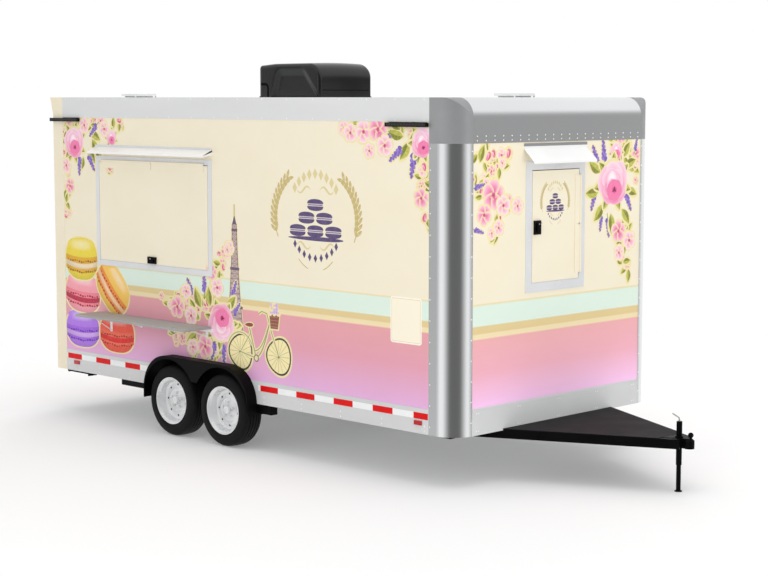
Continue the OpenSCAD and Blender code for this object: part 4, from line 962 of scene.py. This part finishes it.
def inkAt(shape, point):  # the inks run from the patch's hub out to its rim
    if shape["plain"]:
        return shape["inks"][0]
    hub, loop = shape["hub"], shape["loop"]
    du, dv = point[0] - hub[0], point[1] - hub[1]
    share = 0.0
    for a, b in zip(loop, loop[1:] + loop[:1]):  # where the ray from the hub leaves through this edge
        eu, ev = b[0] - a[0], b[1] - a[1]
        cross = du * ev - dv * eu
        if abs(cross) < 1e-12:
            continue
        reach = ((a[0] - hub[0]) * ev - (a[1] - hub[1]) * eu) / cross
        along = ((a[0] - hub[0]) * dv - (a[1] - hub[1]) * du) / cross
        if reach > 0 and -1e-6 <= along <= 1 + 1e-6:
            share = max(share, min(1.0, 1 / reach))
    low, high, mix = (0, 1, share / 0.55) if share < 0.55 else (1, 2, (share - 0.55) / 0.45)
    return between(shape["inks"][low], shape["inks"][high], mix)


def drawSheet(picture, cuts):
    sheet = []
    for kind, *values in picture:
        drawers[kind](sheet, *values)
    return triangulate(sheet, cuts)


def triangulate(sheet, cuts):  # one flat sheet of triangles, cut along the given outlines
    spots, faces, edges = [], [], []
    for shape in sheet:
        start = len(spots)
        spots += [Vector(p) for p in shape["loop"]]
        faces.append(list(range(start, len(spots))))
        if not shape["plain"]:
            spots.append(Vector(shape["hub"]))
            spots += [Vector(shape["hub"]).lerp(Vector(p), 0.55) for p in shape["loop"][::2]]
    for loop in cuts:
        start = len(spots)
        spots += [Vector(p) for p in loop]
        edges += [(start + i, start + (i + 1) % len(loop)) for i in range(len(loop))]
    points, _, triangles, _, _, owners = delaunay_2d_cdt(spots, edges, faces, 0, 1e-5, True)
    cut = []
    for triangle, owner in zip(triangles, owners):
        if owner:
            shape = sheet[max(owner)]
            corners = [tuple(points[i]) for i in triangle]
            cut.append((corners, [inkAt(shape, p) for p in corners]))
    return cut


vinyl = {"lift": 0.0004, "thickness": 0.0004, "leaf": 0.006}


def layVinyl(name, cut, origin, right, outward, body, keep, holes=(), flip=False):
    shape = bmesh.new()
    inkLayer = shape.loops.layers.float_color.new("ink")
    found = {}
    up, origin, right, outward = Vector((0, 0, 1)), Vector(origin), Vector(right), Vector(outward)
    for corners, inks in cut:
        if flip:
            corners, inks = [(-u, v) for u, v in corners][::-1], inks[::-1]
        u, v = sum(p[0] for p in corners) / 3, sum(p[1] for p in corners) / 3
        if not within(keep, u, v) or any(within(hole, u, v) for hole in holes):
            continue
        verts = []
        for p in corners:
            key = (round(p[0], 6), round(p[1], 6))
            if key not in found:
                place = origin + right * p[0] + up * p[1] + outward * vinyl["lift"]
                found[key] = shape.verts.new(place)
            verts.append(found[key])
        if len(set(verts)) == 3 and not shape.faces.get(verts):
            face = shape.faces.new(verts)
            for loop, colour in zip(face.loops, inks):
                loop[inkLayer] = colour
    for face in shape.faces:
        if face.normal.dot(outward) < 0:
            face.normal_flip()
    lower = {}  # the film's edge turns down to the wall behind it
    for edge in [edge for edge in shape.edges if edge.is_boundary]:
        corner = edge.link_loops[0]
        ends = (corner.vert, corner.link_loop_next.vert)
        colour = corner[inkLayer].copy()
        for vert in ends:
            if vert not in lower:
                lower[vert] = shape.verts.new(vert.co - outward * vinyl["thickness"])
        brim = shape.faces.new((ends[1], ends[0], lower[ends[0]], lower[ends[1]]))
        for loop in brim.loops:
            loop[inkLayer] = colour
    data = bpy.data.meshes.new(name)
    shape.to_mesh(data)
    shape.free()
    data.materials.append(finishBy["printInk"])
    piece = bpy.data.objects.new(name, data)
    scene.collection.objects.link(piece)
    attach(piece, body)


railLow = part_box("top_rails")[0].z - lowZ
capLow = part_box("front_cap")[0].z - lowZ
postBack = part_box("corner_posts")[0].x - frontX
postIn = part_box("front_cap")[1].y
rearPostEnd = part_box("top_rails")[0].x - frontX
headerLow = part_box("rear_header")[0].z - lowZ
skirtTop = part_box("skirts")[1].z - lowZ


def boxOn(node, axis, grow):  # a part's rectangle along the wall and upwards
    low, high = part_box(node)
    start = frontX if axis == 0 else 0
    lowU, highU = low[axis] - start - grow, high[axis] - start + grow
    return boxLoop(lowU, low.z - lowZ - grow, highU, high.z - lowZ + grow)


def turned(loop):
    return [(-u, v) for u, v in loop]


serveRim = boxOn("serving_frame", 0, 0)
serveLeaf = boxOn("serving_hatch", 0, -0.003)
(fenderU0, fenderV0), _, (fenderU1, fenderV1), _ = boxOn("fenders", 0, 0.001)
corner = 0.301
fenderHole = [(fenderU1, fenderV0)]
fenderHole += arcPath((fenderU1 - corner, fenderV1 - corner), corner, corner, 0, 90, 10)
fenderHole += arcPath((fenderU0 + corner, fenderV1 - corner), corner, corner, 90, 180, 10)
fenderHole += [(fenderU0, fenderV0)]
sideKeep = boxLoop(rearPostEnd, skirtTop, postBack, railLow)
cut = drawSheet(sidePicture, (serveRim, serveLeaf, fenderHole, sideKeep))
rightWall = ((frontX, rightY, lowZ), (1, 0, 0), (0, -1, 0))
leftWall = ((frontX, leftY, lowZ), (-1, 0, 0), (0, 1, 0))
leafWall = ((frontX, rightY - vinyl["leaf"], lowZ), (1, 0, 0), (0, -1, 0))
layVinyl("sidePrintRight", cut, *rightWall, "chassis", sideKeep, (serveRim, fenderHole))
layVinyl("hatchPrint", cut, *leafWall, "serving_hatch", serveLeaf)
layVinyl("sidePrintLeft", cut, *leftWall, "chassis", turned(sideKeep), (turned(fenderHole),), True)
frontKeep = boxLoop(-postIn, skirtTop, postIn, capLow)
frontLeaf = boxOn("front_hatch", 1, -0.003)
frontRim = boxOn("front_frame", 1, 0)
doorRim = turned(boxOn("door_frame", 1, 0))
rearKeep = boxLoop(-1.03, skirtTop, 1.03, headerLow)
doorLeaf = turned(boxOn("rear_door", 1, -0.025))
cut = drawSheet(frontPicture, (frontKeep, frontLeaf, frontRim, doorRim, rearKeep, doorLeaf))
ahead, behind = ((0, 1, 0), (1, 0, 0)), ((0, -1, 0), (-1, 0, 0))
layVinyl("frontPrint", cut, (frontX, 0, lowZ), *ahead, "chassis", frontKeep, (frontRim,))
layVinyl("frontHatchPrint", cut, (frontX + vinyl["leaf"], 0, lowZ), *ahead, "front_hatch", frontLeaf)
layVinyl("rearPrint", cut, (rearX, 0, lowZ), *behind, "chassis", rearKeep, (doorRim,))
layVinyl("doorPrint", cut, (rearX - vinyl["leaf"], 0, lowZ), *behind, "rear_door", doorLeaf)

# blank card on the serving side: a pale border round a bare cream face
card = {"hub": (-0.490, 0.819), "half": (0.158, 0.171), "corner": 0.022, "border": 0.011}
sheet = []
for inset, inks in ((0.0, ("fbf6e6",)), (card["border"], ("d9b98f",)), (card["border"] + 0.003, ("f8efd9",))):
    loop, radius = [], card["corner"] - inset * 0.8
    for turn, signs in enumerate(((1, 1), (-1, 1), (-1, -1), (1, -1))):
        hub = [card["hub"][n] + signs[n] * (card["half"][n] - card["corner"]) for n in (0, 1)]
        loop += arcPath(hub, radius, radius, 90 * turn, 90 * turn + 90, 5)
    loop = [tuple(p[n] - math.copysign(inset * 0.2, p[n] - card["hub"][n]) for n in (0, 1)) for p in loop]
    patch(sheet, loop, card["hub"], *inks)
cut = triangulate(sheet, ())
layVinyl("blankCard", cut, *rightWall, "chassis", sideKeep)
print("artwork laid")


def at(x, y, z):  # along from the front wall, across, and up from the skirt's lower edge
    return (x + frontX, y, z + lowZ)


def spaced(first, last, pitch):
    count = max(1, round(abs(last - first) / pitch))
    return [first + (last - first) * i / count for i in range(count + 1)]


sides = (("Right", -1), ("Left", 1))
wallOut = abs(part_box("skirts")[0].y)
fenderLow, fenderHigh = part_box("fenders")
fenderBack, fenderFront = fenderLow.x - frontX, fenderHigh.x - frontX
fenderTop, fenderFoot, fenderOut = fenderHigh.z - lowZ, fenderLow.z - lowZ, fenderHigh.y

# red and white tape along the skirts
tape = {"low": 0.108, "high": 0.155, "block": 0.209, "pitch": 0.423, "first": -4.617, "frontFirst": -1.997,
        "back": -4.735, "front": -0.265, "clear": 0.017, "thick": 0.0006}
reds = []
edges = [tape["back"], fenderBack - tape["clear"], fenderFront + tape["clear"], tape["front"]]
for first, start, end in ((tape["first"], *edges[:2]), (tape["frontFirst"], *edges[2:])):
    for k in range(6):
        hub = first + tape["pitch"] * k
        low, high = max(hub - tape["block"] / 2, start), min(hub + tape["block"] / 2, end)
        if high - low > 0.02:
            reds.append((low, high))
whites = []
for start, end in (edges[:2], edges[2:]):
    cursor = start
    for low, high in [pair for pair in reds if start <= pair[0] < end] + [(end, end)]:
        if low - cursor > 0.005:
            whites.append((cursor, low))
        cursor = high
for side, sign in sides:
    for title, spans, finish in (("Red", reds, "redTape"), ("White", whites, "whiteTape")):
        shape = bmesh.new()
        for low, high in spans:
            front, back = sign * (wallOut + tape["thick"]), sign * wallOut
            outline = boxLoop(low + frontX, tape["low"] + lowZ, high + frontX, tape["high"] + lowZ)
            addPrism(shape, outline, back, front, 1)
        addPiece("skirtTape" + title + side, shape, finish, "chassis")
bumperLow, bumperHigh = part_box("rear_bumper")
for title, start, finish in (("Red", 0, "redTape"), ("White", 1, "whiteTape")):
    shape = bmesh.new()
    for k in range(start, 10, 2):
        low = bumperLow.y + 0.05 + k * 0.212
        outline = boxLoop(low, bumperLow.z + 0.015, low + 0.212, bumperHigh.z - 0.015)
        addPrism(shape, outline, bumperLow.x - tape["thick"] / 3, bumperLow.x, 0)
    addPiece("bumperTape" + title, shape, finish, "chassis")

# rivets along the skirts, posts, rails and caps
rivet = {"size": (0.011, 0.011, 0.0042), "small": (0.0065, 0.0065, 0.0026), "inset": 0.012}
frontFace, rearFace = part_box("skirts")[1].x - frontX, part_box("skirts")[0].x - frontX
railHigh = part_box("top_rails")[1].z - lowZ


def addRivets(name, spots, facing, size=rivet["size"]):
    repeatPart(name, "dome", "rivetMetal", "chassis", size, points=spots, facing=facing)


for side, sign in sides:
    spots = []
    for x in spaced(-4.70, -0.30, 0.42):
        if not fenderBack - 0.02 < x < fenderFront + 0.02:
            spots += [at(x, sign * wallOut, 0.022), at(x, sign * wallOut, 0.060)]
    for z in spaced(0.06, 2.08, 0.15):
        spots.append(at(postBack + rivet["inset"], sign * wallOut, z))
        spots.append(at(rearPostEnd - rivet["inset"], sign * wallOut, z))
        spots.append(at(rearX - frontX + 0.02, sign * wallOut, z))
    for x in spaced(rearPostEnd + 0.05, postBack - 0.05, 0.30):
        spots += [at(x, sign * wallOut, railLow + 0.012), at(x, sign * wallOut, railHigh - 0.014)]
    addRivets("sideRivets" + side, spots, (0, sign, 0))
spots = [at(frontFace, sign * (postIn + 0.012), z) for _, sign in sides for z in spaced(0.10, 2.06, 0.15)]
for y in spaced(-0.93, 0.93, 0.42):
    spots += [at(frontFace, y - 0.012, 0.030), at(frontFace, y + 0.012, 0.030)]
    spots += [at(frontFace, y - 0.012, 0.160), at(frontFace, y + 0.012, 0.160)]
for row in (0.020, 0.052):
    spots += [at(frontFace, y, capLow + row) for y in spaced(-0.95, 0.95, 0.095)]
addRivets("frontRivets", spots, (1, 0, 0))
heights = [z for z in spaced(0.12, 2.2, 0.16) if not 0.23 < z < 0.43]  # clear of the tail lights
spots = [at(rearFace, sign * 1.06, z) for _, sign in sides for z in heights]
spots += [at(rearFace, y, headerLow + 0.012) for y in spaced(-1.0, 1.0, 0.16)]
addRivets("rearRivets", spots, (-1, 0, 0))
frameScrews = {"serving_frame": (1, -1, 0.020, 0.24), "front_frame": (0, 1, 0.020, 0.20),
               "door_frame": (0, -1, 0.018, 0.26)}
for node, (axis, sign, inset, pitch) in frameScrews.items():
    low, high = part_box(node)
    face, spread = (low if sign < 0 else high)[axis], 1 - axis
    spots = []
    for z in spaced(low.z + inset, high.z - inset, pitch):
        for across in (low[spread] + inset, high[spread] - inset):
            spots.append((face, across, z) if axis == 0 else (across, face, z))
    for across in spaced(low[spread] + inset, high[spread] - inset, pitch)[1:-1]:
        for z in (low.z + inset, high.z - inset):
            spots.append((face, across, z) if axis == 0 else (across, face, z))
    addRivets(node + "Screws", spots, (0, sign, 0) if axis else (sign, 0, 0), rivet["small"])
print("tape and rivets laid")

# fenders: rolled edge and foot plates
bead = {"radius": 0.0055, "corner": 0.300, "steps": 14}
feet = {"front": (-0.03, 0.165, -0.076), "back": (-0.45, 0.03, -0.050), "across": (1.10, 1.168)}
corner, low = bead["corner"], fenderFoot
path = [(fenderBack, low), (fenderBack, fenderTop - corner)]
path += arcPath((fenderBack + corner, fenderTop - corner), corner, corner, 180, 90, bead["steps"])[1:]
path += arcPath((fenderFront - corner, fenderTop - corner), corner, corner, 90, 0, bead["steps"])
path += [(fenderFront, low)]
hub = ((fenderBack + fenderFront) / 2, 0.0)
path = [(x + (hub[0] - x) * 0.008, z - (0.005 if z > 0 else 0)) for x, z in path]
for side, sign in sides:
    shape = bmesh.new()
    addTube(shape, [at(x, sign * (fenderOut - bead["radius"]), z) for x, z in path], bead["radius"])
    addPiece("fenderBead" + side, shape, "blackSteel", "chassis", 60)
    shape = bmesh.new()
    inner, outer = sorted(sign * y for y in feet["across"])
    for edge, (start, end, low) in ((fenderFront, feet["front"]), (fenderBack, feet["back"])):
        addBlock(shape, at(edge + start, inner, low), at(edge + end, outer, -0.0005))
    addPiece("fenderFeet" + side, shape, "blackSteel", "chassis", bevel=0.003)
print("fenders trimmed")

# wheels: a shouldered tyre with grooves and blocks, and a pressed steel rim
wheel = {
    "tyre": ((0.1980, -0.0700), (0.2010, -0.0865), (0.2120, -0.0905), (0.2300, -0.0918), (0.2345, -0.0924),
             (0.2380, -0.0916), (0.2600, -0.0900), (0.2740, -0.0865), (0.2850, -0.0800), (0.2915, -0.0710),
             (0.2950, -0.0600), (0.2965, -0.0480), (0.2905, -0.0475), (0.2905, -0.0395), (0.2970, -0.0390),
             (0.2975, -0.0200), (0.2910, -0.0195), (0.2910, -0.0115), (0.2978, -0.0110)),
    "rim": ((0, 0.034), (0.0205, 0.034), (0.0205, -0.105), (0.05, -0.105), (0.052, 0.008), (0.110, 0.008),
            (0.150, 0.004), (0.166, -0.002), (0.170, -0.070), (0.178, -0.080), (0.190, -0.0905),
            (0.196, -0.0915), (0.198, -0.0885), (0.182, -0.076), (0.176, -0.060), (0.174, 0),
            (0.176, 0.060), (0.182, 0.076),
            (0.198, 0.0885), (0.1975, 0.0912), (0.1950, 0.0918), (0.190, 0.0905), (0.186, 0.084),
            (0.178, 0.080), (0.174, 0.074), (0.170, 0.066), (0.166, 0.030), (0.163, 0.022),
            (0.158, 0.018), (0.140, 0.014),
            (0.115, 0.016), (0.100, 0.022), (0.094, 0.027), (0.088, 0.0255), (0.040, 0.0255), (0.036, 0.030),
            (0.036, 0.044), (0.032, 0.054), (0.022, 0.0595), (0, 0.061)),
    "lugs": (0.062, 5, (0.021, 0.021, 0.018)), "holes": (0.131, 8, (0.017, 0.017, 0.0014)),
    "blocks": (0.2925, 72, (0.0195, 0.0165, 0.0075)),
}
for key in ("fl", "fr", "rl", "rr"):
    low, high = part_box("tyre_" + key)
    centre, sign = (low + high) / 2, -1 if key[1] == "r" else 1
    half = list(wheel["tyre"])
    profile = half + [(radius, -offset) for radius, offset in half[::-1]]
    shape = bmesh.new()
    spinShape(shape, profile, centre, sign)
    tyre = addPiece("tyreShaped_" + key, shape, "tyreRubber", "wheel_" + key, 40)
    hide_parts("tyre_" + key)
    shape = bmesh.new()
    spinShape(shape, wheel["rim"], centre, sign)
    rim = addPiece("rimShaped_" + key, shape, "rimSilver", "wheel_" + key, 35)
    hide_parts("rim_" + key)
    radius, count, size = wheel["lugs"]
    hub = (centre.x, centre.y + sign * 0.030, centre.z)
    repeatPart("lugNuts_" + key, "nut", "rimSilver", "wheel_" + key, size,
               points=ringOf(hub, radius, count, 0.3), facing=(0, sign, 0))
    # dark discs on the rim's dish: painted shade where vent holes would be; the dish is not cut through
    radius, count, size = wheel["holes"]
    hub = (centre.x, centre.y + sign * 0.0148, centre.z)
    repeatPart("rimHoleShade_" + key, "disc", "recessShadeBlack", "wheel_" + key, size,
               points=ringOf(hub, radius, count), facing=(0, sign, 0))
    radius, count, size = wheel["blocks"]
    spots = []
    for row in (-0.0555, -0.0295, 0.0, 0.0295, 0.0555):
        drop = 0.0015 if abs(row) > 0.05 else 0
        start = 0.04 * (round(row * 100) % 2)
        spots += ringOf((centre.x, centre.y + row, centre.z), radius - drop, count, start)
    repeatPart("treadBlocks_" + key, "block", "tyreRubber", "wheel_" + key, size, points=spots,
               centre=tuple(centre), radial=1.0, across=(0, 1, 0))
    shape = bmesh.new()
    stem = [(centre.x + 0.150, centre.y + sign * (0.018 + 0.004 * i), centre.z - 0.02 + 0.001 * i)
            for i in range(9)]
    addTube(shape, stem, 0.0045, 10)
    addTube(shape, [stem[-1], (stem[-1][0], stem[-1][1] + sign * 0.008, stem[-1][2])], 0.006, 10)
    addPiece("valve_" + key, shape, "sealRubber", "wheel_" + key, 60)
print("wheels shaped")

# air conditioner: one crowned shroud with a scooped side; the front seam, side grooves and louvres at the
# back are dark strips of painted shade below
ac = {"rear": 0.028, "front": 0.14, "side": 0.026, "plan": 0.035, "steps": 56, "scoop": 0.020, "crown": 0.006}
low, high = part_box("air_conditioner")
long, tall, half = high.x - low.x, high.z - low.z, (high.y - low.y) / 2


def drop(inside, radius):  # how far a rounded edge falls at a distance inside it
    if inside >= radius:
        return 0.0
    return radius * (1 - math.sqrt(max(0.0, 1 - ((radius - inside) / radius) ** 2)))


def ease(value):
    value = min(1.0, max(0.0, value))
    return value * value * (3 - 2 * value)


def shroudSection(x):
    slope = 0.012 * (1 - ease(x / (0.3 * long)))
    height = tall - 0.0065 - drop(x, ac["rear"]) - drop(long - x, ac["front"]) - slope
    width = half - drop(min(x, long - x), ac["plan"]) * 0.8
    corner = min(ac["side"], height * 0.4)
    outline = []
    for i in range(13):
        z = (height - corner) * i / 12
        share = z / tall
        rear, front = long * (0.20 + 0.12 * share), long * (1.0 - 0.32 * share)
        scoop = ac["scoop"] * ease((x - rear) / 0.06) * ease((front - x) / 0.03) * ease((0.84 - share) / 0.2)
        outline.append((width - scoop, z))
    for i in range(1, 9):
        a = math.pi / 2 * i / 8
        outline.append((width - corner + corner * math.cos(a), height - corner + corner * math.sin(a)))
    outline += [((width - corner) * s, height + ac["crown"] * (1 - s * s)) for s in (0.75, 0.5, 0.25)]
    return outline + [(0.0, height + ac["crown"])] + [(-p, q) for p, q in outline[::-1]]


shape = bmesh.new()
rings, middleY = [], (low.y + high.y) / 2
for i in range(ac["steps"] + 1):
    x = long * (1 - math.cos(math.pi * i / ac["steps"])) / 2
    rings.append([shape.verts.new((low.x + x, middleY + y, low.z + z)) for y, z in shroudSection(x)])
for a, b in zip(rings, rings[1:]):
    for k in range(len(a)):
        n = (k + 1) % len(a)
        shape.faces.new((a[k], a[n], b[n], b[k]))
shape.faces.new(rings[0])
shape.faces.new(rings[-1])
shroud = addPiece("acShroud", shape, "glossMould", "chassis", 32)
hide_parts("air_conditioner")


def addRibbon(shape, path, width, low, high, axis):  # a flat strip along a path, square to one axis
    left, right = [], []
    for i, (u, v) in enumerate(path):
        a, b = path[max(i - 1, 0)], path[min(i + 1, len(path) - 1)]
        far = math.hypot(b[0] - a[0], b[1] - a[1])
        du, dv = (b[0] - a[0]) / far * width / 2, (b[1] - a[1]) / far * width / 2
        left.append((u - dv, v + du))
        right.append((u + dv, v - du))
    addPrism(shape, left + right[::-1], low, high, axis)


# dark strips laid on the shroud: painted shade for the groove on each side, the front seam and the slots
# between the back louvres
shape = bmesh.new()
for sign in (-1, 1):
    face = middleY + sign * half
    bend = arcPath((low.x + 0.085, low.z + 0.080), 0.035, 0.035, 90, 0, 6)
    path = [(low.x + 0.03, low.z + 0.115)] + bend + [(low.x + 0.12, low.z + 0.004)]
    addRibbon(shape, path, 0.022, face - sign * 0.02, face + sign * 0.0006, 1)
nose = (high.x - 0.012, high.x + 0.0004)
addSlab(shape, 0, nose, (low.y + 0.035, high.y - 0.035), (low.z + 0.060, low.z + 0.066))
for k in range(12):
    z = low.z + 0.050 + 0.014 * k
    addBlock(shape, (low.x - 0.0004, low.y + 0.08, z), (low.x + 0.02, high.y - 0.08, z + 0.006))
addPiece("acSeamShade", shape, "recessShadeBlack", "chassis", bevel=0.0004)
shape = bmesh.new()
pan = boxLoop(low.x + 0.006, low.z, high.x - 0.006, low.z + 0.012)
addPrism(shape, pan, low.y + 0.001, high.y - 0.001, 1)
addPiece("acPan", shape, "blackMould", "chassis", bevel=0.002)
print("air conditioner shaped")

# light bars: glass and diodes under the black housing
for k, x in enumerate((-4.69, -0.472)):
    low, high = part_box("light_bars")
    centreX, face = x + frontX, low.y
    shape = bmesh.new()
    outline = boxLoop(centreX - 0.195, low.z + 0.006, centreX + 0.195, high.z - 0.006)
    addPrism(shape, outline, face - 0.001, face + 0.004, 1)
    addPiece("barGlass" + "RF"[k], shape, "sealRubber", "chassis", bevel=0.0008)
    spots = [(centreX + 0.03 * (i - 6), face - 0.001, (low.z + high.z) / 2) for i in range(13)]
    repeatPart("barDiodes" + "RF"[k], "dome", "glossMould", "chassis", (0.013, 0.013, 0.003),
               points=spots, facing=(0, -1, 0))

# hatch and door seals, in the gap between frame and leaf
gap = 0.006
for node, axis, sign, wall, finish, hingeRoom, topRoom in (
        ("serving_hatch", 1, -1, rightY, "whiteMould", 0.0, 0.030),
        ("front_hatch", 0, 1, frontX, "whiteMould", 0.0, 0.030),
        ("rear_door", 0, -1, rearX, "sealRubber", 0.021, 0.0)):
    low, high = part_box(node)
    spread = 1 - axis
    shape = bmesh.new()
    top, foot = high.z - topRoom, low.z - gap
    left, right = low[spread], high[spread] - hingeRoom
    outerLeft, outerRight = left - gap + 0.0005, right + gap - 0.0005
    depth = sorted((wall - sign * 0.020, wall + sign * 0.002))
    for across, up in (((outerLeft, left - 0.0012), (foot, top)), ((right + 0.0012, outerRight), (foot, top)),
                       ((outerLeft, outerRight), (foot + 0.0005, low.z - 0.0012))):
        addSlab(shape, axis, depth, across, up)
    addPiece(node + "Seal", shape, finish, "chassis")

# latches: lock barrels, and the pull lips and throats drawn as dark slabs of painted shade
latches = (("serving_latch", 1, -1, "serving_hatch"), ("front_latch", 0, 1, "front_hatch"))
for node, axis, sign, body in latches:
    low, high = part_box(node)
    face = (low if sign < 0 else high)[axis]
    centre = (low + high) / 2
    shape = bmesh.new()
    spread = 1 - axis
    size = high - low
    # the two dark slabs are painted shade, under the pull lip and in the throat's recess
    for z0, z1, w, out in ((0.30, 0.36, 0.36, 0.0020), (-0.40, 0.22, 0.30, 0.0010)):
        across = (centre[spread] - size[spread] * w, centre[spread] + size[spread] * w)
        up = (centre.z + size.z * z0, centre.z + size.z * z1)
        addSlab(shape, axis, sorted((face - sign * 0.002, face + sign * out)), across, up)
    addPiece(node + "GripShade", shape, "recessShadeBlack", body, bevel=0.0006)
    hub = [0, 0, centre.z + size.z * 0.26]
    hub[axis], hub[spread] = face + sign * 0.0005, centre[spread]
    facing = [0, 0, 0]
    facing[axis] = sign
    repeatPart(node + "Lock", "disc", "zincSteel", body, (0.013, 0.013, 0.003),
               points=(hub,), facing=tuple(facing))

# hood over the serving hatch: folded sheet with a small lip and end plates
hood = {"drop": 0.026, "out": 0.096, "sheet": 0.0016, "end": 0.0012}
low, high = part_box("serving_hood")
top, edge = high.z, rightY - hood["out"]
outline = [(rightY, top), (rightY, top - hood["drop"] * 0.4 - 0.01), (edge, low.z + 0.030),
           (edge, low.z + 0.018), (edge - hood["sheet"], low.z + 0.018),
           (edge - hood["sheet"], low.z + 0.034), (rightY - 0.004, top)]
cheek = [(rightY, top - 0.002), (rightY, low.z + 0.034), (edge, low.z + 0.020), (edge, low.z + 0.033)]
shape = bmesh.new()
addPrism(shape, outline, low.x, high.x, 0)
for x in (low.x, high.x - hood["end"]):
    addPrism(shape, cheek, x, x + hood["end"], 0)
cover = addPiece("servingHoodFolded", shape, "hoodWhite", "chassis", bevel=0.0008)
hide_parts("serving_hood")

# flashing strips over both hoods
for node, axis, depth, finish, tall in (("serving_hood", 1, (rightY - 0.005, rightY), "frameGrey", 0.014),
                                        ("front_hood", 0, (frontX, frontX + 0.006), "cornerMetal", 0.022)):
    low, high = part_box(node)
    shape = bmesh.new()
    addSlab(shape, axis, depth, (low[1 - axis], high[1 - axis]), (high.z, high.z + tall))
    addPiece(node + "Flashing", shape, finish, "chassis", bevel=0.0008)

# slim brackets under the serving shelf: a ledger on the wall, arms, posts and diagonal stays
# places: along the shelf, and how far down each post goes
stay = {"arm": 0.200, "thick": 0.004, "wide": 0.030, "flat": 0.003,
        "places": ((0.127, 0.146), (0.55, 0.075), (1.00, 0.075), (1.43, 0.075))}
low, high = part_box("shelf_brackets")
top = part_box("serving_shelf")[0].z
shape = bmesh.new()
addBlock(shape, (low.x, rightY - 0.005, top - 0.030), (high.x, rightY, top))
for inset, reach in stay["places"]:
    foot = top - reach
    x = low.x + inset - stay["wide"] / 2
    addBlock(shape, (x, rightY - stay["thick"], foot), (x + stay["wide"], rightY, top - 0.028))
    addBlock(shape, (x, rightY - stay["arm"], top - stay["flat"]), (x + stay["wide"], rightY - 0.003, top))
    tip = rightY - stay["arm"]
    outline = [(rightY - 0.002, foot + 0.002), (rightY - 0.002, foot + 0.014), (tip + 0.006, top - 0.002),
               (tip - 0.002, top - 0.002)]
    addPrism(shape, outline, x + stay["wide"] / 2 - 0.003, x + stay["wide"] / 2 + 0.003, 0)
brackets = addPiece("shelfStays", shape, "hoodWhite", "chassis", bevel=0.0006)
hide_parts("shelf_brackets")
print("lights, seals and latches added")
